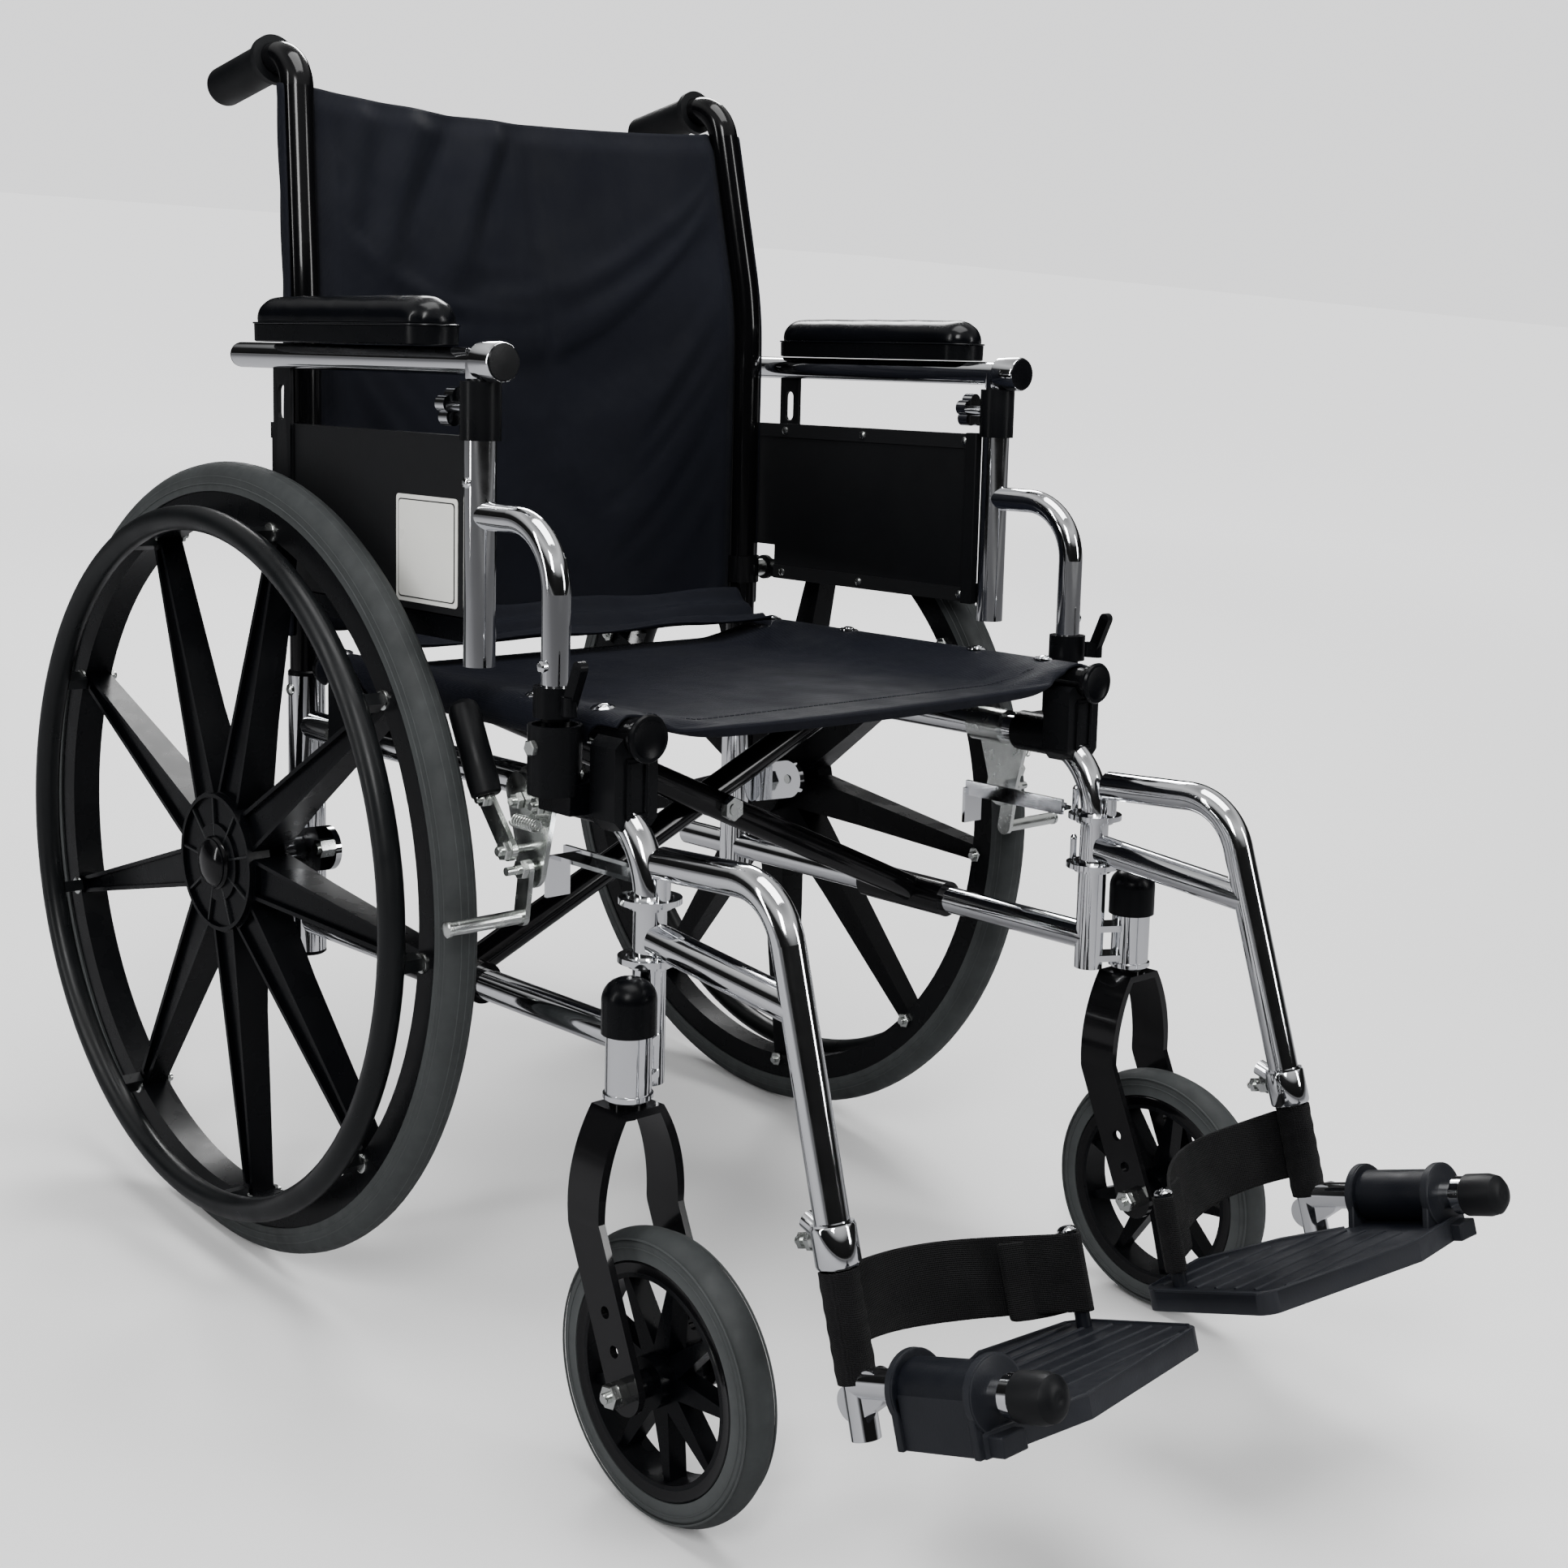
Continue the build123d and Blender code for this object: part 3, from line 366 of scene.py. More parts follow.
SLOTS = {"chrome_tube": CHROME, "black_paint": PAINT, "grip_rubber": RUBBER,
         "black_plastic": PLASTIC, "zinc": ZINC, "tyre": TYRE, "rim_coating": RIM_COAT,
         "vinyl": VINYL, "panel": PANEL, "composite": COMPOSITE, "webbing": WEBBING,
         "nylon": NYLON}


# ---- shapes ------------------------------------------------------------------------------
def around(steps):
    """Angles of a full turn."""
    return [2 * pi * k / steps for k in range(steps)]


class Shape:
    """Points in the row frame and faces, gathered into one mesh."""

    def __init__(self):
        self.points, self.faces = [], []

    def sheet(self, rows, round_it=False):
        """Faces between rows of points, closed round each row if asked."""
        start, wide = len(self.points), len(rows[0])
        for row in rows:
            self.points.extend(row)
        for r in range(len(rows) - 1):
            for c in range(wide if round_it else wide - 1):
                a, b = start + r * wide + c, start + r * wide + (c + 1) % wide
                self.faces.append((a, b, b + wide, a + wide))
        return start

    def solid(self, rings):
        """A closed form through rings of points, with flat ends."""
        wide = len(rings[0])
        first = self.sheet(rings, round_it=True)
        last = first + (len(rings) - 1) * wide
        self.faces.append(tuple(reversed(range(first, first + wide))))
        self.faces.append(tuple(range(last, last + wide)))

    def turned(self, centre, axis, profile, steps=28):
        """A profile of (height, radius) in millimetres turned about an axis, with closed ends."""
        axis = axis.normalized()
        side = axis.orthogonal().normalized()
        other = axis.cross(side)
        rings = []
        for height, radius in profile:
            middle = centre + axis * height / 1000
            rings.append([middle + (side * cos(a) + other * sin(a)) * radius / 1000
                          for a in around(steps)])
        self.solid(rings)

    def tube(self, line, radius, steps=12):
        """A round bar along points in metres."""
        rings, side = [], None
        for k, point in enumerate(line):
            ahead = (line[min(k + 1, len(line) - 1)] - line[max(k - 1, 0)]).normalized()
            side = ahead.orthogonal() if side is None else side - ahead * side.dot(ahead)
            side = side.normalized()
            other = ahead.cross(side)
            rings.append([point + (side * cos(a) + other * sin(a)) * radius / 1000
                          for a in around(steps)])
        self.solid(rings)

    def prism(self, corners, rise):
        """A flat outline in metres pushed along a vector in metres."""
        self.solid([corners, [corner + rise for corner in corners]])

    def hexagon(self, centre, axis, radius, height, dome=0.0):
        """A nut or bolt head, with a bolt's end of radius dome standing out of it if asked."""
        self.turned(centre, axis, [(0, radius), (height - 0.6, radius), (height, radius - 0.8)], 6)
        if dome:
            top = centre + axis * height / 1000
            self.turned(top, axis, [(0, dome), (3.0, dome), (3.6, dome - 0.7)], 14)

    def screw(self, centre, axis, radius):
        """A domed screw head in a raised cup washer."""
        cup = ((-0.6, 1.0), (0.4, 1.0), (1.6, 0.8), (1.4, 0.62))
        head = ((0.6, 0.6), (1.9, 0.56), (3.0, 0.36), (3.3, 0.14))
        for profile in (cup, head):
            self.turned(centre, axis, [(height, radius * share) for height, share in profile], 24)

    def mesh(self, name):
        made = bpy.data.meshes.new(name)
        made.from_pydata([tuple(p) for p in self.points], [], self.faces)
        work = bmesh.new()
        work.from_mesh(made)
        bmesh.ops.remove_doubles(work, verts=work.verts, dist=0.000002)
        bmesh.ops.recalc_face_normals(work, faces=work.faces)
        work.to_mesh(made)
        work.free()
        return made


def soften(mesh, angle=32.0):
    for polygon in mesh.polygons:
        polygon.use_smooth = True
    mesh.set_sharp_from_angle(angle=radians(angle))


def piece(name, shape, finish, slot, body=None, bevel=0.0):
    """A mesh object with its material, riding on a body."""
    mesh = shape.mesh(name) if isinstance(shape, Shape) else shape
    soften(mesh)
    made = bpy.data.objects.new(name, mesh)
    scene.collection.objects.link(made)
    made.data.materials.append(finish)
    if bevel:
        rounded = made.modifiers.new("edges", "BEVEL")
        rounded.width, rounded.segments, rounded.limit_method = bevel / 1000, 2, "ANGLE"
    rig.slot(made, slot)
    if body:
        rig.ride(made, body)
    return made


def settle(cloth_object, held, frames, gravity, cap, pressure=0.0, stiff=15.0):
    """Cloth simulation of a mesh, applied to it. held gives a point's pinning from 0 to 1, and
    cap is how far a point may move, in metres."""
    group = cloth_object.vertex_groups.new(name="held")
    start = [v.co.copy() for v in cloth_object.data.vertices]
    for index, point in enumerate(start):
        weight = held(point)
        if weight > 0:
            group.add([index], weight, "REPLACE")
    cloth = cloth_object.modifiers.new("cloth", "CLOTH")
    settings = cloth.settings
    settings.quality, settings.mass = 6, 0.25
    settings.tension_stiffness = settings.compression_stiffness = stiff
    settings.shear_stiffness, settings.bending_stiffness = stiff / 2, 0.6
    settings.vertex_group_mass = "held"
    settings.effector_weights.gravity = gravity
    settings.use_pressure = pressure > 0
    settings.uniform_pressure_force = pressure
    cloth.point_cache.frame_start, cloth.point_cache.frame_end = 1, frames
    for step in range(1, frames + 1):
        scene.frame_set(step)
    evaluated = cloth_object.evaluated_get(bpy.context.evaluated_depsgraph_get())
    moved = [v.co.copy() for v in evaluated.data.vertices]
    cloth_object.modifiers.remove(cloth)
    for vertex, before, after in zip(cloth_object.data.vertices, start, moved):
        shift = after - before
        if shift.length > cap:
            shift *= cap / shift.length
        vertex.co = before + shift
    scene.frame_set(1)


def refine(made):
    finer = made.modifiers.new("finer", "SUBSURF")
    finer.levels = finer.render_levels = 1


def thicken(made, thick):
    """Gives a sheet its thickness and a finer mesh."""
    refine(made)
    skin = made.modifiers.new("skin", "SOLIDIFY")
    skin.thickness, skin.offset = thick / 1000, 0.0


# ---- camera, floor and light -------------------------------------------------------------
def place_camera():
    eye = (-1.1223, -1.2214, 0.8246)    # metres
    yaw, pitch, roll = radians(-44.07), radians(11.93), radians(5.01)
    view = Vector((-sin(yaw) * cos(pitch), cos(yaw) * cos(pitch), -sin(pitch)))
    right = view.cross(Vector((0, 0, 1))).normalized()
    above = right.cross(view)
    right, above = right * cos(roll) + above * sin(roll), above * cos(roll) - right * sin(roll)
    data = bpy.data.cameras.new("camera")
    data.lens, data.shift_x, data.shift_y = 50.89, -0.0093, -0.0618
    camera = bpy.data.objects.new("camera", data)
    scene.collection.objects.link(camera)
    turned = Matrix((right, above, -view)).transposed().to_4x4()
    camera.matrix_world = Matrix.Translation(eye) @ turned
    scene.camera = camera


def place_light(name, spot, size, power):
    """A rectangular lamp in metres and watts, turned to the middle of the chair."""
    data = bpy.data.lights.new(name, "AREA")
    data.shape, data.size, data.size_y = "RECTANGLE", size[0], size[1]
    data.energy = power
    lamp = bpy.data.objects.new(name, data)
    scene.collection.objects.link(lamp)
    aim = Vector((0, 0, 0.45)) - Vector(spot)
    lamp.matrix_world = Matrix.Translation(spot) @ aim.to_track_quat("-Z", "Y").to_matrix().to_4x4()


def brighten_far_floor(pale):
    """Keeps the floor as light far from the lamps as it is under them, and darkens what the
    chrome mirrors of it."""
    nodes, links = pale.node_tree.nodes, pale.node_tree.links
    away = nodes.new("ShaderNodeVectorMath")
    away.operation = "LENGTH"
    links.new(nodes.new("ShaderNodeTexCoord").outputs["Object"], away.inputs[0])
    glow = nodes.new("ShaderNodeMapRange")
    glow.interpolation_type = "SMOOTHSTEP"
    for name, value in (("From Min", 0.8), ("From Max", 5.5), ("To Min", 0.0), ("To Max", 1.36)):
        glow.inputs[name].default_value = value
    links.new(away.outputs["Value"], glow.inputs["Value"])
    surface = nodes["Principled BSDF"]
    surface.inputs["Emission Color"].default_value = (1.0, 1.0, 1.01, 1.0)
    path = nodes.new("ShaderNodeLightPath")
    mirrored_grey = (0.3, 0.3, 0.31, 1.0)
    seen = nodes.new("ShaderNodeMath")
    seen.operation = "MULTIPLY"
    links.new(glow.outputs["Result"], seen.inputs[0])
    links.new(path.outputs["Is Camera Ray"], seen.inputs[1])
    links.new(seen.outputs["Value"], surface.inputs["Emission Strength"])
    shade = nodes.new("ShaderNodeMix")
    shade.data_type = "RGBA"
    links.new(path.outputs["Is Glossy Ray"], shade.inputs["Factor"])
    links.new(surface.inputs["Base Color"].links[0].from_socket, shade.inputs["A"])
    shade.inputs["B"].default_value = mirrored_grey
    links.new(shade.outputs["Result"], surface.inputs["Base Color"])


def place_floor():
    floor = Shape()
    floor.sheet([[Vector((x, y, -0.0005)) for x in (-40, 40)] for y in (-40, 40)])
    pale = material("floor_pale", (0.86, 0.86, 0.86), 0.9, mottle=0.012, mottle_scale=0.8,
                    grain=0.02, gloss=0.0)
    brighten_far_floor(pale)
    ground = bpy.data.objects.new("floor", floor.mesh("floor"))
    ground.data.materials.append(pale)
    scene.collection.objects.link(ground)
    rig.stage(ground)


def place_studio():
    """A world that is pale to the camera, and banded by height in reflections, and the lamps."""
    world = bpy.data.worlds.new("studio")
    scene.world = world
    world.use_nodes = True
    nodes, links = world.node_tree.nodes, world.node_tree.links
    sky = nodes["Background"]
    split = nodes.new("ShaderNodeSeparateXYZ")
    links.new(nodes.new("ShaderNodeTexCoord").outputs["Generated"], split.inputs["Vector"])
    height = nodes.new("ShaderNodeMapRange")
    height.inputs["From Min"].default_value = -1.0
    links.new(split.outputs["Z"], height.inputs["Value"])
    ramp = nodes.new("ShaderNodeValToRGB")
    stops = ((0.0, 0.35), (0.5, 0.3), (0.51, 0.01), (0.68, 0.02), (0.74, 0.5), (0.84, 0.9),
             (1.0, 0.25))
    while len(ramp.color_ramp.elements) < len(stops):
        ramp.color_ramp.elements.new(0.5)
    for element, (place, grey) in zip(ramp.color_ramp.elements, stops):
        element.position, element.color = place, (grey, grey, grey, 1)
    links.new(height.outputs["Result"], ramp.inputs["Fac"])
    pick = nodes.new("ShaderNodeMix")
    pick.data_type = "RGBA"
    pick.inputs["B"].default_value = (1.9, 1.9, 1.92, 1)
    links.new(nodes.new("ShaderNodeLightPath").outputs["Is Camera Ray"], pick.inputs["Factor"])
    links.new(ramp.outputs["Color"], pick.inputs["A"])
    links.new(pick.outputs["Result"], sky.inputs["Color"])
    sky.inputs["Strength"].default_value = 0.8

    place_light("key", (-2.4, -1.9, 2.6), (0.8, 1.4), 75)
    place_light("strip", (-2.6, 0.8, 1.3), (0.25, 2.0), 26)
    place_light("fill", (1.5, -2.7, 1.7), (0.5, 1.6), 34)
    place_light("rim", (1.6, 2.2, 2.4), (1.6, 0.8), 85)
    place_light("top", (0.0, -0.2, 3.4), (2.2, 2.2), 110)


place_camera()
place_floor()
place_studio()


# ---- finishes of the carried-over nodes --------------------------------------------------
def paint_nodes():
    for subpart in frame["record"]["subparts"]:
        node = frame["nodes"][subpart["node"]]
        node.data.materials.clear()
        node.data.materials.append(SLOTS[subpart["material_slot"]])
        soften(node.data, angle=28.0)


def repaint(node_name, finish, inside):
    """Gives the faces whose centre lies inside another finish."""
    data = frame["nodes"][node_name].data
    data.materials.append(finish)
    for polygon in data.polygons:
        if inside(level(polygon.center)):
            polygon.material_index = len(data.materials) - 1


paint_nodes()
for side, g in SIDES:
    repaint(f"armrest_frame_{side}", PLASTIC,
            lambda p: p.z > 637.5 or p.z < 484.5 and p.y < -340
            or abs(p.x) < 257.2 and p.z < 520 and p.y > -270)
    repaint(f"armrest_frame_{side}", CHROME, lambda p: p.z > 640 and p.y > -266.5)
    repaint(f"armrest_top_{side}", PANEL, lambda p: p.z < ARM_TOP_Z - 10.5 and p.y > -60)
    repaint(f"back_cane_{side}", ZINC, lambda p: abs(p.x) > 241)


# ---- seat sling --------------------------------------------------------------------------
SEAT_LEFT, SEAT_RIGHT = (at(g * (SIDE_X - 14), -200, RAIL_Z) for g in (1, -1))


def seat_point(s, y):
    """The sling's outline across the chair at path length s from the middle: flat between the
    rails, then round each rail as far as the guide blocks allow."""
    wrap_r = RAIL_R + 1.6
    g = 1 if s > 0 else -1
    if abs(s) <= SIDE_X:
        return s, RAIL_Z + wrap_r
    near_block = max(bell((y + 399.0) / 34.0), bell((y + 79.0) / 34.0))
    reach = radians(150.0 - 86.0 * smooth(near_block * 2.2))
    angle = pi / 2 - reach * (abs(s) - SIDE_X) / SEAT_WRAP
    return g * (SIDE_X + wrap_r * cos(angle)), RAIL_Z + wrap_r * sin(angle)


def make_seat():
    shape = Shape()
    step = SEAT_WRAP / 8
    spans = [-SIDE_X - SEAT_WRAP + step * k for k in range(8)]
    spans += [-SIDE_X + 2 * SIDE_X * k / 64 for k in range(65)]
    spans += [SIDE_X + step * (k + 1) for k in range(8)]
    lengths = [0.0, 3.0, 7.0, 11.0, 15.0] + [15.0 + 358.0 * (k + 1) / 50 for k in range(50)]
    rows = []
    for along_it in lengths:
        row = []
        for s in spans:
            proud = 15.0 * smooth((SIDE_X - 26.0 - abs(s)) / 14.0)
            y = SEAT_FRONT - proud + max(0.0, along_it - 8.0) * (1 + proud / 365.0)
            x, z = seat_point(s, y)
            z -= 9.0 * (1 - smooth(along_it / 10.0)) * smooth((SIDE_X - 16.0 - abs(s)) / 14.0)
            row.append(at(x, y, z))
        rows.append(row)
    shape.sheet(rows)
    seat = piece("seat_sling", shape, NYLON, "nylon")
    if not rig.quick():
        settle(seat, lambda p: smooth((abs(level(p).x) - 206.0) / 14.0), frames=16, gravity=0.35,
               cap=0.014)
    thicken(seat, 2.0)
    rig.blend(seat, "brace_a", "brace_b", start=SEAT_LEFT, end=SEAT_RIGHT)
    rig.replaces(seat, "seat_left", "seat_right")
    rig.sheet(seat, flat=(0.52, 0.385), held="stretched",
             rests_on=["seat_rail_left", "seat_rail_right"])


def make_seat_screws():
    for (side, g), body in zip(SIDES, ("brace_a", "brace_b")):
        shape = Shape()
        for y in (-372.0, -300.0, -150.0, -52.0):
            shape.screw(at(g * (SIDE_X - 3), y, RAIL_Z + RAIL_R + 2.4), turn(g * 0.1, 0, 1), 8.5)
        piece(f"seat_screws_{side}", shape, CHROME, "chrome_tube", body)
        plug = Shape()
        plug.turned(at(g * SIDE_X, -421.6, RAIL_Z), turn(0, -1, 0),
                    [(0, 15.5), (2.2, 16.2), (3.6, 15.2), (3.7, 13.0), (3.0, 11.8), (3.1, 2.0)], 40)
        piece(f"rail_cap_{side}", plug, PLASTIC, "black_plastic", body)


# ---- back sling --------------------------------------------------------------------------
def cane_centre(z):
    """(x, y) of the back cane's centreline: upright, then leaning back above the knee."""
    rise = z - KNEE_Z
    bend = 35
    run = 0.0 if rise < -bend else (rise + bend) ** 2 / (4 * bend) if rise < bend else rise
    return SIDE_X - run * 12 / 184, CANE_Y + run * 30 / 184


# Each crease of the back: x and z at its start and at its end, width and height.
FOLDS = ((-112, 872, -158, 745, 17, 5.0), (-30, 866, -104, 725, 20, 6.5),
         (-14, 868, -52, 790, 11, -5.0), (6, 846, 22, 620, 9, -3.0),
         (-72, 874, -130, 790, 11, -3.5), (64, 866, 80, 780, 20, 1.8),
         (-150, 620, 60, 520, 26, 2.2), (40, 600, 150, 500, 24, 1.8),
         (-162, 872, -186, 780, 12, 3.0))


def folds_at(x, z):
    """How far the creased nylon stands forward of its smooth shape."""
    total = 0.0
    for x0, z0, x1, z1, wide, high in FOLDS:
        run = Vector((x1 - x0, z1 - z0))
        share = max(-0.3, min(1.3, Vector((x - x0, z - z0)).dot(run) / run.length_squared))
        off = abs((x - x0) * run.y - (z - z0) * run.x) / run.length
        fade = smooth((1.3 - share) / 0.7) * smooth((share + 0.3) / 0.3)
        total += 1.3 * high * fade * exp(-(off / wide) ** 2)
    return total


def folded_width():
    """Between the side tubes when the scissor of cross braces stands at its upper limit."""
    rise = (RAIL_Z - LOWER_Z) / 2
    arm, start = (rise ** 2 + SIDE_X ** 2) ** 0.5, atan2(rise, SIDE_X)
    return 2 * arm * cos(start + radians(JOINTS["frame_fold"]["range_deg"][1]))


def make_back():
    shape = Shape()
    rows = []
    for k in range(76):
        v = k / 75
        row = []
        for j in range(89):
            u = j / 88 * 2 - 1
            top_sag = 7.0 * (1 - u * u) * smooth((v - 0.5) * 2)
            z = BACK_LOW + (BACK_HIGH - BACK_LOW) * v - top_sag
            cane_x, cane_y = cane_centre(z)
            x = u * (cane_x - CANE_R - 1.0)
            edge = 1 - abs(u)
            y = cane_y + 2 - 9.0 * smooth(edge / 0.07) + 17.0 * sin(pi * edge / 2) ** 1.3
            y -= folds_at(x, z) * smooth(edge / 0.12)
            y += 5.0 * smooth((0.04 - (1 - v)) / 0.04)
            row.append(at(x, y, z))
        rows.append(row)
    shape.sheet(rows)
    back = piece("back_sling", shape, NYLON, "nylon")
    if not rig.quick():
        settle(back, lambda p: smooth((abs(level(p).x) - 186.0) / 12.0), frames=12, gravity=0.3,
               cap=0.003)
    thicken(back, 2.0)
    pivot = Vector(JOINTS["frame_fold"]["pos_m"])
    inset, open_width, folded = (CANE_R + 1.0) / 1000, 2 * SIDE_X / 1000, folded_width() / 1000
    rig.squash(back, "frame_fold", axis=(1, 0, 0), anchor=(pivot.x + inset, 0, 0),
              keep=(folded - 2 * inset) / (open_width - 2 * inset))
    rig.ride(back, "right_frame")
    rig.replaces(back, "back_left", "back_right")
    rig.sheet(back, flat=(0.44, 0.41), held="stretched",
             rests_on=["back_cane_left", "back_cane_right"])


def make_back_pockets():
    """The sling's hems, wrapped round the rear of each cane from its inner to its outer side."""
    for side, g in SIDES:
        shape = Shape()
        rows = []
        for k in range(42):
            z = BACK_LOW - 2 + (BACK_HIGH + 2 - BACK_LOW) * k / 41
            cane_x, cane_y = cane_centre(z)
            row = []
            for j in range(19):
                angle = radians(158.0 - 176.0 * j / 18)
                radius = CANE_R + 2.4 + 0.7 * sin(z * 0.09 + j) * sin(pi * j / 18)
                row.append(at(g * (cane_x + radius * cos(angle)), cane_y + radius * sin(angle), z))
            rows.append(row)
        shape.sheet(rows)
        pocket = piece(f"back_pocket_{side}", shape, NYLON, "nylon", f"{side}_frame")
        thicken(pocket, 1.6)
        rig.sheet(pocket, flat=(0.045, 0.41), held="stretched", rests_on=[f"back_cane_{side}"])
        screws = Shape()
        for z in (498.0, 600.0, 700.0, 800.0, 868.0):
            cane_x, cane_y = cane_centre(z)
            screws.screw(at(g * cane_x, cane_y + CANE_R + 3.8, z), turn(0, 1, 0), 7.0)
        piece(f"back_screws_{side}", screws, CHROME, "chrome_tube", f"{side}_frame")


def make_rear_flap():
    """The loose pleated strip at the foot of the back that covers the gap behind the seat."""
    shape = Shape()
    rows = []
    for k in range(23):
        t = k / 22
        row = []
        for j in range(73):
            u = j / 72 * 2 - 1
            x = u * 205.0
            wave = sin(u * 3.1 + t * 5) * 2.0 * bell(u)
            y = -19.0 - 52.0 * t + wave
            z = 491.0 - 20.0 * smooth(t * 1.5)
            z += 3.4 * sin(t * 19.0) * (0.5 + 0.5 * t) + 1.5 * sin(u * 9 + t * 4)
            row.append(at(x, y, max(z, RAIL_Z + 15.5)))
        rows.append(row)
    shape.sheet(rows)
    flap = piece("rear_flap", shape, NYLON, "nylon")
    thicken(flap, 1.6)
    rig.blend(flap, "brace_a", "brace_b", start=SEAT_LEFT, end=SEAT_RIGHT)
    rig.sheet(flap, flat=(0.41, 0.075), held="folded", rests_on=["seat_sling"])


def dashes(shape, line, pitch=5.0, long=3.2, radius=0.45):
    """Stitches along a line of points in metres."""
    run, k = 0.0, 0
    for a, b in zip(line, line[1:]):
        step = (b - a).length * 1000
        while run < step:
            start = a + (b - a) * (run / step)
            shape.tube([start, start + (b - a).normalized() * long / 1000], radius, 6)
            run += pitch
        run -= step


def make_stitching():
    """The hems' seams along the front and rear of the seat sling."""
    points = [v.co for v in bpy.data.objects["seat_sling"].data.vertices]
    shape = Shape()
    for inset in (22.0, 352.0):
        line = []
        for k in range(45):
            x = -198.0 + 396.0 * k / 44
            spot = at(x, SEAT_FRONT + inset, RAIL_Z + RAIL_R)
            near = min(points, key=lambda p: (p.x - spot.x) ** 2 + (p.y - spot.y) ** 2)
            height = near.z + (near.y - spot.y) * UP.y / UP.z
            line.append(Vector((spot.x, spot.y, height)) + UP * 0.0013)
        dashes(shape, line)
    threads = piece("seat_stitching", shape, THREAD, "nylon")
    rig.blend(threads, "brace_a", "brace_b", start=SEAT_LEFT, end=SEAT_RIGHT)


# ---- armrests ----------------------------------------------------------------------------
def stadium(long, wide):
    """Points of a long round-ended outline, as (across, along) pairs."""
    straight, r = (long - wide) / 2, wide / 2
    return [(r * cos(a), r * sin(a) + (straight if sin(a) >= 0 else -straight))
            for a in around(48)]


def pad_rings(g, levels):
    """Rings of a pad, each at a height above the arm tube and inset from its outline."""
    rings = []
    for height, inset in levels:
        rings.append([at(g * (PAD_X + x), PAD_Y + y, PAD_FOOT + height)
                      for x, y in stadium(PAD_LONG - 2 * inset, PAD_WIDE - 2 * inset)])
    return rings


def make_arm_pads():
    for side, g in SIDES:
        tray = Shape()
        tray.solid(pad_rings(g, [(0, 1.6), (0.8, 0.3), (12.5, 0.0), (13.5, 0.6)]))
        piece(f"pad_tray_{side}", tray, PLASTIC, "black_plastic", f"armrest_top_body_{side}")
        beading = Shape()
        ring = pad_rings(g, [(13.6, -0.4)])[0]
        beading.tube(ring + ring[:2], 0.7, 8)
        piece(f"pad_beading_{side}", beading, VINYL, "vinyl", f"armrest_top_body_{side}")
        cushion = Shape()
        crown = []
        for k in range(12):
            a = radians(7.5 * k)
            crown.append((14.0 + 20.0 * sin(a), 19.0 * (1 - cos(a)) ** 1.1))
        cushion.solid(pad_rings(g, [(8.0, 2.0), (13.6, 0.9)] + crown))
        pad = piece(f"arm_pad_cover_{side}", cushion, VINYL, "vinyl")
        fine = pad.modifiers.new("remesh", "REMESH")
        fine.mode, fine.voxel_size = "VOXEL", 0.0045
        solved = pad.evaluated_get(bpy.context.evaluated_depsgraph_get())
        pad.data = bpy.data.meshes.new_from_object(solved)
        pad.modifiers.clear()
        held_below = ARM_TOP_Z + ARM_R + 17.0
        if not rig.quick():
            settle(pad, lambda p: 1.0 if level(p).z < held_below else 0.0, frames=16,
                   gravity=0.0, cap=0.004, pressure=3.0, stiff=12.0)
        soften(pad.data, angle=80.0)
        even = pad.modifiers.new("even", "SMOOTH")
        even.factor, even.iterations = 0.5, 16
        refine(pad)
        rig.ride(pad, f"armrest_top_body_{side}")
        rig.replaces(pad, f"arm_pad_{side}")
        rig.padded(pad, fill=0.85)


RIVET = ((0, 3.6), (0.8, 3.4), (1.5, 2.2), (1.7, 0.6))


def make_arm_fittings():
    for side, g in SIDES:
        body = f"armrest_top_body_{side}"
        collar = Shape()
        collar.turned(at(g * ARM_X, POST_Y - 1.0, ARM_TOP_Z), turn(0, -1, 0),
                      [(0, 9.8), (1.5, 12.6), (3.0, 13.6), (23.0, 13.6), (24.6, 12.9),
                       (24.6, 11.4), (22.0, 11.2)], 36)
        collar.turned(at(g * ARM_X, POST_Y, ARM_TOP_Z - 13), turn(0, 0, 1),
                      [(0, 9.6), (2, 10.6), (13, 10.6)], 28)
        piece(f"arm_front_collar_{side}", collar, CHROME, "chrome_tube", body)
        plug = Shape()
        plug.turned(at(g * ARM_X, -304.0, ARM_TOP_Z), turn(0, -1, 0),
                    [(0, 12.7), (3.0, 12.7), (3.6, 12.0), (3.9, 2.0)], 36)
        plug.turned(at(g * ARM_X, 33.1, ARM_TOP_Z), turn(0, 1, 0),
                    [(-2, 7.4), (0, 7.4), (0, 9.3), (1.4, 9.3), (2.2, 8.0)], 30)
        piece(f"arm_plugs_{side}", plug, PLASTIC, "black_plastic", body)
        frame_body = f"armrest_body_{side}"
        rivets = Shape()
        for z in (506.0, 634.0):
            for y in (-255.0, -135.0, -36.0):
                for x, way in ((SKIRT_OUT, g), (SKIRT_IN, -g)):
                    rivets.turned(at(g * x, y, z), turn(way, 0, 0), RIVET, 18)
        piece(f"skirt_rivets_{side}", rivets, ZINC, "zinc", frame_body)
        button = Shape()
        button.turned(at(g * (ARM_X + 9.0), LEG_Y, 496.0), turn(g, 0, 0),
                      [(0, 4.2), (3.0, 4.0), (4.2, 2.8), (4.6, 0.8)], 20)
        button.turned(at(g * (ARM_X + 10.0), POST_Y, 610.0), turn(g, 0, 0),
                      [(0, 3.8), (2.4, 3.6), (3.2, 2.4), (3.4, 0.8)], 20)
        piece(f"arm_buttons_{side}", button, CHROME, "chrome_tube", frame_body)
        channel = Shape()
        section = ((246.6, -269), (253.8, -269), (253.8, -257), (246.6, -257))
        channel.prism([at(g * x, y, 499.0) for x, y in section], turn(0, 0, 1) * 0.142)
        piece(f"skirt_front_channel_{side}", channel, PANEL, "panel", frame_body, bevel=0.6)


